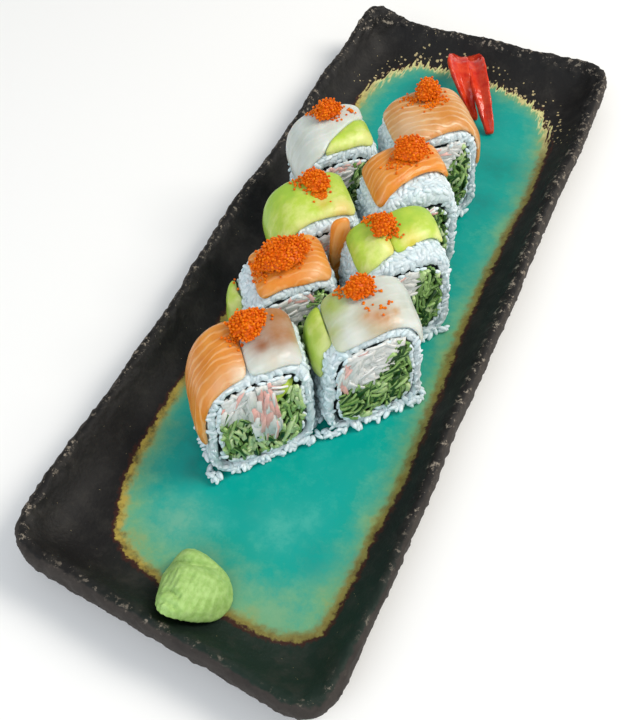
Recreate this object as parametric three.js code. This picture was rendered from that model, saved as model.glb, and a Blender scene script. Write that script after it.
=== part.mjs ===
// Eight uramaki pieces with their toppings, wasabi and pickled ginger on a long slab-built plate.
// Millimetres, +Z up, +Y along the plate. The origin is the middle of the plate's underside.
import * as THREE from 'three';

// Plate: a long slab dish with a sloping raised rim.
const PLATE = {
  halfWidth: 58,
  halfLength: 163.2,
  height: 17.5,
  cornerRadius: 12,
  longSidePoints: 19,
  shortSidePoints: 8,
  cornerPoints: 4,
  innerRadius: 4,
};

// The left side bows inward near the front, and a lump of clay stands on the far left corner.
const BOW = { depth: 2.6, y: -85, spread: 45 };
const LUMP = { height: 7.5, spread: 12 };

// Ripples of the rim, as [height, length, phase] of each wave.
const SIDE_RIPPLE = [[0.7, 17, 1.3], [0.4, 7.3, 0]];
const END_RIPPLE = [[0.6, 9, 2], [0.3, 4.1, 0]];
const RIM_RIPPLE_ALONG = [[0.45, 13, 0.6]];
const RIM_RIPPLE_ACROSS = [[0.35, 11, 1.4]];
const RIM_SINK = 0.5;

// How far each corner of the hand-made rim strays from a true rectangle.
const CORNER_DRIFT = {
  nearLeft: [0.9, 6.2, -0.1],
  nearRight: [-4.4, -4.5, -0.8],
  farRight: [-1.1, 2.7, 3.1],
  farLeft: [-4.6, -1.1, 0.5],
};

// The plate's section, as [inset from the rim's inner edge, height], from the underside to the floor.
const PLATE_SECTION = [
  [9, 0],
  [2.4, 2],
  [-2.4, 5.2],
  [-3.5, 12],
  [-3.2, 15.9],
  [-2, 17.3],
  [-0.2, 17.5],
  [1.8, 15.6],
  [5.6, 11],
  [10, 7.7],
  [14.5, 6.3],
  [19, 6],
];
const FLOOR = 6;
const RIM_INNER_EDGE = PLATE_SECTION.findIndex(([, height]) => height === PLATE.height);

// Clearances between things that touch.
const GAP = 0.35;
const REST = 0.3;

// A piece's outline is a squarish oval: the powers say how square its top and its base are.
const ROUND_POINTS = 28;
const TOP_POWER = 3.4;
const BASE_POWER = 5;
const BASE_FLAT = 0.5;

// Walls and relief of a piece.
const RICE_WALL = 4.2;
const NORI_THICKNESS = 0.7;
const NORI_RECESS = 0.1;
const FACE_RECESS = 0.2;
const RICE = { rows: 6, proud: 0.55, sunk: 0.75, pressed: 0.5, edge: 0.5, faceRelief: 0.6 };
const FILLING = { margin: 0.016, middle: 0.55 };
const FILLING_RELIEF = { crab: 0.7, cucumber: 1.1, avocado: 0.5 };
const SLICE = { degreesPerColumn: 12, rows: 4, endShare: 0.62, sideShare: 0.45, ripple: 0.12, trim: 0.5 };
const ROE = { spokes: 14, rings: 3, bump: 1.3, rim: 0.05, lobe: 0.13, notch: 0.05 };
const LEAN = Math.tan(THREE.MathUtils.degToRad(8));
const SIDE_DRIFT = 0.2;

// The rows stand at this angle to the plate, and places are measured across and along the roll's axis.
const ROW_TURN = THREE.MathUtils.degToRad(50);

// Flare widens the base, and crown is the extra rice above the nori. Each slice on top runs from one
// angle round the outline to another, in degrees, and from start to end back from the cut face. Skew sets
// its right side further back. A divide parts two slices along a line that runs back from the cut face.
const PIECES = [
  {
    name: 'L1', along: -60.5, across: -70.4, width: 39, height: 41, depth: 25, flare: 0.06, crown: 0,
    crab: [62, 158], avocado: [36, 62],
    slices: [
      { name: 'salmon', kind: 'salmon', from: 99, to: 193, start: 0.3, end: 24.6, thick: 2.8 },
      { name: 'white_fish', kind: 'whiteFish', from: 45, to: 97.5, start: 0.2, end: 24.2, thick: 2.1 },
    ],
    roe: { across: 1, back: 17, radius: 6.8, height: 4.8, lobes: 3, turn: 0.4, stretch: 1.05 },
  },
  {
    name: 'L2', along: -29, across: -42.8, width: 37, height: 38.5, depth: 22, flare: 0.04, crown: 0,
    crab: [60, 165],
    slices: [
      { name: 'salmon', kind: 'salmon', from: 46, to: 126, start: 0.2, end: 21.6, thick: 3 },
      { name: 'avocado', kind: 'avocado', from: 150, to: 196, start: 11.5, end: 21.6, thick: 4.4 },
    ],
    roe: { across: -1.5, back: 11, radius: 9.6, height: 4.6, lobes: 4, turn: 1.1, stretch: 1.2 },
  },
  {
    name: 'L3', along: -6.5, across: -20.2, width: 34.5, height: 39.5, depth: 26, flare: 0.04, crown: 1,
    crab: [60, 165],
    slices: [
      { name: 'avocado', kind: 'avocado', from: 46, to: 168, start: 0.6, skew: 2, end: 25.5, thick: 3.4 },
    ],
    roe: { across: 2, back: 17.5, radius: 6.2, height: 4, lobes: 2, turn: 3.6, stretch: 0.95 },
  },
  {
    name: 'L4', along: 26.5, across: 4.8, width: 35, height: 40.5, depth: 26, flare: 0.04, crown: 2,
    crab: [60, 165],
    slices: [
      { name: 'white_fish', kind: 'whiteFish', from: 47, to: 164, start: 0.4, end: 25.6, thick: 2.6 },
      { name: 'avocado', kind: 'avocado', from: 47, to: 112, start: 0.6, end: 25, thick: 3.2 },
    ],
    divide: { behind: 'white_fish', before: 'avocado', at: 116, back: 17, bend: 0.8, least: 1.6 },
    roe: { across: -1, back: 19, radius: 5.8, height: 4.8, lobes: 3, turn: 2.2, stretch: 1.1 },
  },
  {
    name: 'R1', along: -61.5, across: -28.5, width: 37.6, height: 40, depth: 24.5, flare: 0.09, crown: 0,
    crab: [58, 178],
    slices: [
      { name: 'avocado', kind: 'avocado', from: 131.5, to: 172, start: 6, end: 24, thick: 2.6 },
      { name: 'white_fish', kind: 'whiteFish', from: 22, to: 130, start: 0.2, end: 24.2, thick: 2.2 },
    ],
    roe: { across: 0, back: 18.4, radius: 5.8, height: 4.4, lobes: 5, turn: 0.2, stretch: 1.1 },
  },
  {
    name: 'R2', along: -36.3, across: -2.5, width: 39.4, height: 40.5, depth: 25, flare: 0.04, crown: 1.5,
    crab: [70, 175],
    slices: [
      { name: 'avocado_left', kind: 'avocado', from: 99, to: 136, start: 2.5, skew: 2, end: 24, thick: 3.6 },
      { name: 'avocado_right', kind: 'avocado', from: 34, to: 97.5, start: 5, skew: 4, end: 24, thick: 2.9 },
    ],
    roe: { across: -4.5, back: 15, radius: 5.4, height: 4.6, lobes: 3, turn: 1.6, stretch: 1 },
  },
  {
    name: 'R3', along: -10, across: 17.5, width: 36.6, height: 43, depth: 26, flare: 0.04, crown: 4.5,
    crab: [55, 165],
    slices: [
      { name: 'salmon', kind: 'salmon', from: 36, to: 137, start: 3.5, skew: 7, end: 25.6, thick: 3.2 },
    ],
    roe: { across: 3, back: 18, radius: 7.4, height: 5, lobes: 4, turn: 0.7, stretch: 1.05 },
  },
  {
    name: 'R4', along: 16.5, across: 42.8, width: 38.6, height: 42, depth: 28, flare: 0.04, crown: 1,
    crab: [50, 150],
    slices: [
      { name: 'salmon', kind: 'paleSalmon', from: 4, to: 138, start: 0.3, end: 27.6, thick: 3 },
    ],
    roe: { across: 2, back: 21, radius: 5.4, height: 7.4, lobes: 3, turn: 2.6, stretch: 1.1 },
  },
];

// A strip of salmon that stands in the gap between L3 and R2.
const STRIP = {
  across: [-19.4, -9.8],
  along: -9.1,
  thick: 2.2,
  low: 14,
  high: 42,
  sway: 0.5,
  steps: 9,
  crown: 1.15,
  endShare: 0.7,
};

// The creases of the wasabi lie across the directions given, each with its place, width and depth.
const WASABI = {
  x: 2.1,
  y: -147.6,
  halfWidth: 12.2,
  halfLength: 12.9,
  height: 13.8,
  edge: 1.2,
  wobble: 0.04,
  swells: [
    { size: 0.17, turn: 2.2, spread: 0.4 },
    { size: -0.1, turn: 3.7, spread: 0.5 },
    { size: 0.06, turn: 4.5, spread: 0.35 },
  ],
  creases: [
    { turn: 1.75, place: 0.5, width: 0.17, depth: 2.4 },
    { turn: 3.75, place: 0.52, width: 0.14, depth: 1.3 },
  ],
  spokes: 28,
  rings: 8,
  footShare: 0.93,
  hollow: 0.6,
  wallMargin: 1,
};

// Two folded slices of pickled ginger, side by side along a low arch behind the last piece. Each has its
// width at the near end, the middle and the far end, and bows to the left between them.
const GINGER = [
  {
    name: 'ginger_front', from: [18, 111], to: [-6, 156.4], widths: [3, 7.4, 5], bow: 3.3, arch: 12,
    twist: 0.5,
  },
  {
    name: 'ginger_back', from: [8, 118], to: [-9.8, 150.6], widths: [2.6, 9.4, 5], bow: 6.3, arch: 14,
    twist: -0.5,
  },
];
const GINGER_THICKNESS = 1.9;
const GINGER_FOLD = 2.6;
const GINGER_CURL = 0.85;
const GINGER_STEPS = 9;
const GINGER_COLUMNS = 6;

const FINISH = {
  stoneware: { color: 0x2b2725, roughness: 0.6 },
  rice: { color: 0xdde3e4, roughness: 0.45 },
  nori: { color: 0x1d2622, roughness: 0.6 },
  cucumber: { color: 0x7fa650, roughness: 0.4 },
  crab: { color: 0xf0d3cf, roughness: 0.5 },
  avocado: { color: 0xa9c545, roughness: 0.4 },
  salmon: { color: 0xe58a4a, roughness: 0.3 },
  paleSalmon: { color: 0xe7ab78, roughness: 0.3 },
  whiteFish: { color: 0xd3d3c2, roughness: 0.3 },
  roe: { color: 0xee6a12, roughness: 0.25 },
  wasabi: { color: 0xa4c878, roughness: 0.65 },
  ginger: { color: 0xe6321f, roughness: 0.3 },
};

const TURN = Math.PI * 2;

// Repeatable random numbers from 0 to 1, a small mixing generator.
function seeded(seed) {
  let state = seed;
  return () => {
    state = (state + 0x6d2b79f5) | 0;
    let mixed = Math.imul(state ^ (state >>> 15), 1 | state);
    mixed = (mixed + Math.imul(mixed ^ (mixed >>> 7), 61 | mixed)) ^ mixed;
    return ((mixed ^ (mixed >>> 14)) >>> 0) / 4294967296;
  };
}

// Gathers points and triangles, and turns them into a closed mesh that faces outward.
class Shell {
  constructor() {
    this.points = [];
    this.triangles = [];
  }

  add(point) {
    this.points.push(point);
    return this.points.length - 1;
  }

  ring(points) {
    return points.map((point) => this.add(point));
  }

  quad(a, b, c, d) {
    this.triangles.push([a, b, c], [a, c, d]);
  }

  // Joins two closed rings of the same length.
  band(first, second) {
    const count = first.length;
    for (let i = 0; i < count; i += 1) {
      const next = (i + 1) % count;
      this.quad(first[i], first[next], second[next], second[i]);
    }
  }

  // Closes a ring with a fan to one point. The side says which way the fan winds.
  fan(ring, centre, reverse) {
    for (let i = 0; i < ring.length; i += 1) {
      const next = (i + 1) % ring.length;
      this.triangles.push(reverse ? [ring[next], ring[i], centre] : [ring[i], ring[next], centre]);
    }
  }

  volume() {
    let sum = 0;
    for (const [a, b, c] of this.triangles) {
      const cross = new THREE.Vector3().crossVectors(this.points[b], this.points[c]);
      sum += this.points[a].dot(cross) / 6;
    }
    return sum;
  }

  mesh(name, finish) {
    const outward = this.volume() > 0;
    const geometry = new THREE.BufferGeometry();
    geometry.setAttribute('position', new THREE.Float32BufferAttribute(
      this.points.flatMap((point) => point.toArray()), 3));
    geometry.setIndex(this.triangles.flatMap(([a, b, c]) => (outward ? [a, b, c] : [a, c, b])));
    geometry.computeVertexNormals();
    const { color, roughness } = FINISH[finish];
    const mesh = new THREE.Mesh(geometry, new THREE.MeshStandardMaterial({ color, roughness, metalness: 0 }));
    mesh.name = name;
    return mesh;
  }
}

// Plate

function wave(ripple, place) {
  return ripple.reduce((sum, [size, length, phase]) => sum + size * Math.sin(place / length + phase), 0);
}

// Points of a rounded rectangle, anticlockwise from the right side.
function roundedRectangle(halfWidth, halfLength, radius) {
  const points = [];
  const corners = [[1, 1, 0], [-1, 1, 1], [-1, -1, 2], [1, -1, 3]];
  corners.forEach(([sideX, sideY, quarter]) => {
    const centreX = sideX * (halfWidth - radius);
    const centreY = sideY * (halfLength - radius);
    for (let i = 0; i < PLATE.cornerPoints; i += 1) {
      const angle = (quarter + i / (PLATE.cornerPoints - 1)) * TURN / 4;
      points.push([centreX + radius * Math.cos(angle), centreY + radius * Math.sin(angle)]);
    }
    const alongShortSide = quarter % 2 === 0;
    const count = alongShortSide ? PLATE.shortSidePoints : PLATE.longSidePoints;
    const [startX, startY] = points[points.length - 1];
    const endX = alongShortSide ? -startX : startX;
    const endY = alongShortSide ? startY : -startY;
    for (let i = 1; i <= count; i += 1) {
      const share = i / (count + 1);
      points.push([startX + (endX - startX) * share, startY + (endY - startY) * share]);
    }
  });
  return points;
}

// How far the drift of the corners moves a point of the plate.
function cornerDrift(x, y) {
  const a = x / PLATE.halfWidth;
  const b = y / PLATE.halfLength;
  const shares = {
    nearLeft: (1 - a) * (1 - b) / 4,
    nearRight: (1 + a) * (1 - b) / 4,
    farRight: (1 + a) * (1 + b) / 4,
    farLeft: (1 - a) * (1 + b) / 4,
  };
  const drift = [0, 0, 0];
  for (const [corner, share] of Object.entries(shares)) {
    CORNER_DRIFT[corner].forEach((value, axis) => {
      drift[axis] += value * share;
    });
  }
  return drift;
}

// One ring of the plate, with the drift, bow and ripple of a dish shaped by hand.
function plateRing(inset, height) {
  const halfWidth = PLATE.halfWidth - inset;
  const halfLength = PLATE.halfLength - inset;
  const radius = Math.max(PLATE.innerRadius, PLATE.cornerRadius - inset * 0.4);
  const rise = Math.max(0, height - FLOOR) / (PLATE.height - FLOOR);
  return roundedRectangle(halfWidth, halfLength, radius).map(([x, y]) => {
    const a = x / PLATE.halfWidth;
    const b = y / PLATE.halfLength;
    const drift = cornerDrift(x, y);
    const bow = BOW.depth * Math.exp(-(((y - BOW.y) / BOW.spread) ** 2)) * Math.max(0, -a);
    const rippleX = a * wave(SIDE_RIPPLE, y) * rise;
    const rippleY = b * wave(END_RIPPLE, x) * rise;
    const rippleZ = wave(RIM_RIPPLE_ALONG, y) + wave(RIM_RIPPLE_ACROSS, x) - RIM_SINK;
    const lumpDistance = Math.hypot(x + PLATE.halfWidth, y - PLATE.halfLength);
    const lump = LUMP.height * Math.exp(-((lumpDistance / LUMP.spread) ** 2));
    return new THREE.Vector3(
      x + drift[0] + bow + rippleX,
      y + drift[1] + rippleY,
      height + rise * (drift[2] + rippleZ + lump),
    );
  });
}

function buildPlate() {
  const shell = new Shell();
  const rings = PLATE_SECTION.map(([inset, height]) => shell.ring(plateRing(inset, height)));
  for (let i = 1; i < rings.length; i += 1) {
    shell.band(rings[i - 1], rings[i]);
  }
  shell.fan(rings[0], shell.add(new THREE.Vector3(0, 0, 0)), true);
  shell.fan(rings[rings.length - 1], shell.add(new THREE.Vector3(0, 0, FLOOR)), false);
  return shell.mesh('plate', 'stoneware');
}

// Height of the plate's upper surface at a distance in from the rim's inner edge.
function plateHeight(inset) {
  const inner = PLATE_SECTION.slice(RIM_INNER_EDGE);
  for (let i = 1; i < inner.length; i += 1) {
    const [nearInset, nearHeight] = inner[i - 1];
    const [farInset, farHeight] = inner[i];
    if (inset < farInset) {
      const share = (inset - nearInset) / (farInset - nearInset);
      return nearHeight + (farHeight - nearHeight) * share;
    }
  }
  return FLOOR;
}

// Uramaki piece

// A point of a piece's outline, seen from the cut face: u to the right, z up. Offset moves it outward.
function outlinePoint(piece, angle, offset = 0) {
  const at = (turn) => {
    const c = Math.cos(turn);
    const s = Math.sin(turn);
    const power = s > 0 ? TOP_POWER : BASE_POWER;
    const reach = (Math.abs(c) ** power + Math.abs(s) ** power) ** (-1 / power);
    const flare = 1 + piece.flare * Math.max(0, -reach * s);
    return [reach * c * flare * piece.width / 2, (1 + reach * s) * piece.height / 2];
  };
  const step = 0.01;
  const [u, z] = at(angle);
  const [u0, z0] = at(angle - step);
  const [u1, z1] = at(angle + step);
  const length = Math.hypot(u1 - u0, z1 - z0);
  return [u + offset * (z1 - z0) / length, z - offset * (u1 - u0) / length];
}

// Local place of a point that is u across, back from the cut face and z up, with the piece's lean.
function leaned(u, back, z) {
  return new THREE.Vector3(u + SIDE_DRIFT * back, back + LEAN * z, z);
}

// The outline that the nori ring and what it holds are offset from.
function rollOutline(piece) {
  return { ...piece, height: piece.height - piece.crown };
}

// The angle at which the top of the outline stands above a given u.
function angleAbove(piece, u, offset) {
  let low = 0;
  let high = Math.PI;
  for (let i = 0; i < 24; i += 1) {
    const middle = (low + high) / 2;
    if (outlinePoint(piece, middle, offset)[0] > u) {
      low = middle;
    } else {
      high = middle;
    }
  }
  return (low + high) / 2;
}

function ringAngles() {
  return Array.from({ length: ROUND_POINTS }, (_, i) => i * TURN / ROUND_POINTS - TURN / 4);
}

function isUnderSlice(piece, angle) {
  const margin = TURN / ROUND_POINTS;
  return piece.slices.some(({ from, to }) => {
    const start = THREE.MathUtils.degToRad(from) - margin;
    const end = THREE.MathUtils.degToRad(to) + margin;
    return [angle, angle + TURN].some((turn) => turn > start && turn < end);
  });
}

// Rice: a thick ring round the nori, its outside bumpy with grains.
function buildRice(piece, random) {
  const shell = new Shell();
  const angles = ringAngles();
  const outer = [];
  for (let row = 0; row < RICE.rows; row += 1) {
    const back = piece.depth * row / (RICE.rows - 1);
    const atFace = row === 0 || row === RICE.rows - 1;
    outer.push(shell.ring(angles.map((angle) => {
      const grain = random();
      const free = (RICE.proud + RICE.sunk) * grain - RICE.sunk;
      const bump = isUnderSlice(piece, angle) ? -RICE.pressed * grain : free;
      const inward = atFace ? RICE.faceRelief * random() * (row === 0 ? 1 : -1) : 0;
      const [u, z] = outlinePoint(piece, angle, atFace ? bump - RICE.edge : bump);
      return leaned(u, back + inward, Math.max(z, BASE_FLAT) - BASE_FLAT);
    })));
  }
  const roll = rollOutline(piece);
  const hole = (back) => shell.ring(angles.map((angle) => {
    const [u, z] = outlinePoint(roll, angle, -RICE_WALL);
    return leaned(u, back, z - BASE_FLAT);
  }));
  const front = hole(FACE_RECESS);
  const rear = hole(piece.depth - FACE_RECESS);
  outer.slice(1).forEach((ring, i) => shell.band(outer[i], ring));
  shell.band(outer[outer.length - 1], rear);
  shell.band(rear, front);
  shell.band(front, outer[0]);
  return shell.mesh(`rice_${piece.name}`, 'rice');
}

// Nori: a thin sheet rolled round the filling.
function buildNori(piece) {
  const shell = new Shell();
  const angles = ringAngles();
  const roll = rollOutline(piece);
  const ring = (back, offset) => shell.ring(angles.map((angle) => {
    const [u, z] = outlinePoint(roll, angle, offset);
    return leaned(u, back, z - BASE_FLAT);
  }));
  const outside = -RICE_WALL - GAP;
  const inside = outside - NORI_THICKNESS;
  const rings = [
    ring(NORI_RECESS, outside),
    ring(piece.depth - NORI_RECESS, outside),
    ring(piece.depth - NORI_RECESS, inside),
    ring(NORI_RECESS, inside),
  ];
  rings.forEach((current, i) => shell.band(current, rings[(i + 1) % rings.length]));
  return shell.mesh(`nori_${piece.name}`, 'nori');
}

// A filling that takes one sector of the space inside the nori, uneven at both cut faces.
function buildFilling(piece, name, finish, [fromDegrees, toDegrees], random) {
  const shell = new Shell();
  const offset = -RICE_WALL - NORI_THICKNESS - 2 * GAP;
  const from = THREE.MathUtils.degToRad(fromDegrees);
  const to = THREE.MathUtils.degToRad(toDegrees);
  const half = (to - from) / 2;
  const middle = from + half;
  const apart = GAP / Math.sin(half);
  const roll = rollOutline(piece);
  const hub = [apart * Math.cos(middle), roll.height / 2 + apart * Math.sin(middle)];
  const between = ringAngles()
    .flatMap((turn) => [turn, turn + TURN])
    .filter((turn) => turn > from + 2 * FILLING.margin && turn < to - 2 * FILLING.margin)
    .sort((a, b) => a - b);
  const turns = [from + FILLING.margin, ...between, to - FILLING.margin];
  const arc = turns.map((turn) => outlinePoint(roll, turn, offset));
  const mid = arc.map(([u, z]) => [
    hub[0] + (u - hub[0]) * FILLING.middle,
    hub[1] + (z - hub[1]) * FILLING.middle,
  ]);
  const face = (back, inward) => {
    const relief = inward * FILLING_RELIEF[finish];
    const place = ([u, z]) => shell.add(leaned(u, back + relief * random(), z - BASE_FLAT));
    return { hub: place(hub), mid: mid.map(place), arc: arc.map(place) };
  };
  const front = face(FACE_RECESS, 1);
  const rear = face(piece.depth - FACE_RECESS, -1);
  const last = arc.length - 1;
  for (let i = 0; i < last; i += 1) {
    shell.triangles.push([front.hub, front.mid[i], front.mid[i + 1]]);
    shell.quad(front.mid[i], front.arc[i], front.arc[i + 1], front.mid[i + 1]);
    shell.triangles.push([rear.hub, rear.mid[i + 1], rear.mid[i]]);
    shell.quad(rear.mid[i + 1], rear.arc[i + 1], rear.arc[i], rear.mid[i]);
    shell.quad(front.arc[i], rear.arc[i], rear.arc[i + 1], front.arc[i + 1]);
  }
  const side = (a, b) => shell.quad(front[a[0]][a[1]], rear[a[0]][a[1]], rear[b[0]][b[1]], front[b[0]][b[1]]);
  shell.quad(front.hub, rear.hub, rear.mid[0], front.mid[0]);
  side(['mid', 0], ['arc', 0]);
  side(['arc', last], ['mid', last]);
  shell.quad(front.mid[last], rear.mid[last], rear.hub, front.hub);
  return shell.mesh(`${name}_${piece.name}`, finish);
}

// How far back a slice starts and ends at an angle where a divide parts it from another.
function partingLine(piece, slice, angle) {
  const { divide } = piece;
  const isBehind = divide?.behind === slice.name;
  if (!isBehind && divide?.before !== slice.name) {
    return { start: 0, end: piece.depth };
  }
  const left = THREE.MathUtils.degToRad(divide.at);
  const right = THREE.MathUtils.degToRad(slice.from);
  const share = Math.max(0, (left - angle) / (left - right));
  const line = divide.back * share ** divide.bend;
  return isBehind
    ? { start: line + GAP, end: piece.depth }
    : { start: 0, end: Math.max(line - GAP, divide.least) };
}

// A soft slice laid over the rice: thinner at its ends, its surface and edges a little wavy.
function buildSlice(piece, slice, random) {
  const shell = new Shell();
  const from = THREE.MathUtils.degToRad(slice.from);
  const to = THREE.MathUtils.degToRad(slice.to);
  const columns = Math.max(5, Math.round((slice.to - slice.from) / SLICE.degreesPerColumn));
  const { rows } = SLICE;
  const phase = random() * TURN;
  const grid = { over: [], under: [] };
  for (let i = 0; i <= columns; i += 1) {
    const across = i / columns;
    const angle = from + (to - from) * across;
    const overRow = [];
    const underRow = [];
    for (let j = 0; j <= rows; j += 1) {
      const share = j / rows;
      const atEnd = j === 0 || j === rows;
      const fromSide = Math.min(across, 1 - across);
      const edge = Math.min(1, 5 * fromSide + SLICE.sideShare) * (atEnd ? SLICE.endShare : 1);
      const ripple = atEnd ? 0 : SLICE.ripple * (1 + Math.sin(across * 9 + share * 4 + phase));
      const inset = SLICE.trim * (1 + Math.sin(across * 7 + phase)) + (slice.skew ?? 0) * (1 - across);
      const trim = SLICE.trim * (1 + Math.sin(across * 6 + phase + 2));
      const parting = partingLine(piece, slice, angle);
      const first = Math.max(slice.start + inset, parting.start);
      const last = Math.min(slice.end - trim, parting.end);
      const back = first + (last - first) * share;
      const [u, z] = outlinePoint(piece, angle, GAP + slice.thick * edge * (1 - ripple));
      const [u0, z0] = outlinePoint(piece, angle, GAP);
      overRow.push(shell.add(leaned(u, back, z - BASE_FLAT)));
      underRow.push(shell.add(leaned(u0, back, z0 - BASE_FLAT)));
    }
    grid.over.push(overRow);
    grid.under.push(underRow);
  }
  for (let i = 0; i < columns; i += 1) {
    for (let j = 0; j < rows; j += 1) {
      shell.quad(grid.over[i][j], grid.over[i + 1][j], grid.over[i + 1][j + 1], grid.over[i][j + 1]);
      shell.quad(grid.under[i][j + 1], grid.under[i + 1][j + 1], grid.under[i + 1][j], grid.under[i][j]);
    }
    shell.quad(grid.over[i + 1][0], grid.over[i][0], grid.under[i][0], grid.under[i + 1][0]);
    shell.quad(grid.over[i][rows], grid.over[i + 1][rows], grid.under[i + 1][rows], grid.under[i][rows]);
  }
  for (let j = 0; j < rows; j += 1) {
    shell.quad(grid.over[0][j], grid.over[0][j + 1], grid.under[0][j + 1], grid.under[0][j]);
    const end = columns;
    shell.quad(grid.over[end][j + 1], grid.over[end][j], grid.under[end][j], grid.under[end][j + 1]);
  }
  return shell.mesh(`${slice.name}_${piece.name}`, slice.kind);
}

// A clump of roe on top: a lobed, bumpy dome whose underside follows the slices.
function buildRoe(piece, random) {
  const { roe } = piece;
  const shell = new Shell();
  const { spokes, rings } = ROE;
  const thickest = Math.max(...piece.slices.map((slice) => slice.thick));
  const clear = 2 * GAP + thickest;
  const place = (ring, spoke, lift) => {
    const turn = spoke * TURN / spokes;
    const lobe = ROE.lobe * Math.sin(roe.lobes * turn + roe.turn);
    const notch = ROE.notch * Math.sin(7 * turn + roe.turn * 3);
    const reach = roe.radius * (1 + lobe + notch) * ring / rings;
    const u = roe.across + reach * roe.stretch * Math.cos(turn);
    const back = roe.back + reach / roe.stretch * Math.sin(turn);
    const [, z] = outlinePoint(piece, angleAbove(piece, u, clear), clear);
    return leaned(u, back, z - BASE_FLAT + lift);
  };
  const heightAt = (ring) => roe.height * Math.sqrt(Math.max(ROE.rim, 1 - (ring / rings) ** 2));
  const over = [];
  const under = [];
  for (let ring = 1; ring <= rings; ring += 1) {
    const spokeList = Array.from({ length: spokes }, (_, spoke) => spoke);
    over.push(shell.ring(spokeList.map((spoke) => {
      const bump = ring < rings ? ROE.bump * (random() - 0.5) : 0;
      return place(ring, spoke, heightAt(ring) + bump);
    })));
    under.push(shell.ring(spokeList.map((spoke) => place(ring, spoke, 0))));
  }
  shell.fan(over[0], shell.add(place(0, 0, roe.height)), false);
  shell.fan(under[0], shell.add(place(0, 0, 0)), true);
  for (let ring = 1; ring < rings; ring += 1) {
    shell.band(over[ring], over[ring - 1]);
    shell.band(under[ring - 1], under[ring]);
  }
  shell.band(under[rings - 1], over[rings - 1]);
  return shell.mesh(`roe_${piece.name}`, 'roe');
}

function buildPiece(piece, index) {
  const random = seeded(101 + index * 17);
  const group = new THREE.Group();
  const [crabFrom, crabTo] = piece.crab;
  const cucumber = [crabTo, (piece.avocado ? piece.avocado[0] : crabFrom) + 360];
  group.add(buildRice(piece, random));
  group.add(buildNori(piece));
  group.add(buildFilling(piece, 'crab', 'crab', piece.crab, random));
  group.add(buildFilling(piece, 'cucumber', 'cucumber', cucumber, random));
  if (piece.avocado) {
    group.add(buildFilling(piece, 'avocado_filling', 'avocado', piece.avocado, random));
  }
  piece.slices.forEach((slice) => group.add(buildSlice(piece, slice, random)));
  group.add(buildRoe(piece, random));
  const place = new THREE.Vector2(piece.across, piece.along).rotateAround(new THREE.Vector2(), ROW_TURN);
  group.position.set(place.x, place.y, FLOOR + REST);
  group.rotation.z = ROW_TURN;
  return group;
}

// Loose pieces

// A strip of fish on its edge between two pieces, swaying a little from side to side.
function buildStrip() {
  const shell = new Shell();
  const [left, right] = STRIP.across;
  const middle = (left + right) / 2;
  const rings = [];
  for (let i = 0; i <= STRIP.steps; i += 1) {
    const share = i / STRIP.steps;
    const z = STRIP.low + (STRIP.high - STRIP.low) * share;
    const fullness = STRIP.endShare + (1 - STRIP.endShare) * Math.sin(share * Math.PI);
    const halfWidth = (right - left) / 2 * fullness;
    const sway = STRIP.sway * Math.sin(share * TURN);
    const halfThick = STRIP.thick / 2 * (i === 0 || i === STRIP.steps ? 0.5 : 1);
    rings.push(shell.ring([
      leaned(middle - halfWidth, sway - halfThick, z),
      leaned(middle, sway - halfThick * STRIP.crown, z),
      leaned(middle + halfWidth, sway - halfThick, z),
      leaned(middle + halfWidth, sway + halfThick, z),
      leaned(middle, sway + halfThick * STRIP.crown, z),
      leaned(middle - halfWidth, sway + halfThick, z),
    ]));
  }
  rings.slice(1).forEach((ring, i) => shell.band(rings[i], ring));
  const centre = (z) => shell.add(leaned(middle, 0, z));
  shell.fan(rings[0], centre(STRIP.low), true);
  shell.fan(rings[rings.length - 1], centre(STRIP.high), false);
  const mesh = shell.mesh('salmon_strip_L3', 'salmon');
  const place = new THREE.Vector2(0, STRIP.along).rotateAround(new THREE.Vector2(), ROW_TURN);
  mesh.position.set(place.x, place.y, FLOOR + REST);
  mesh.rotation.z = ROW_TURN;
  return mesh;
}

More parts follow.
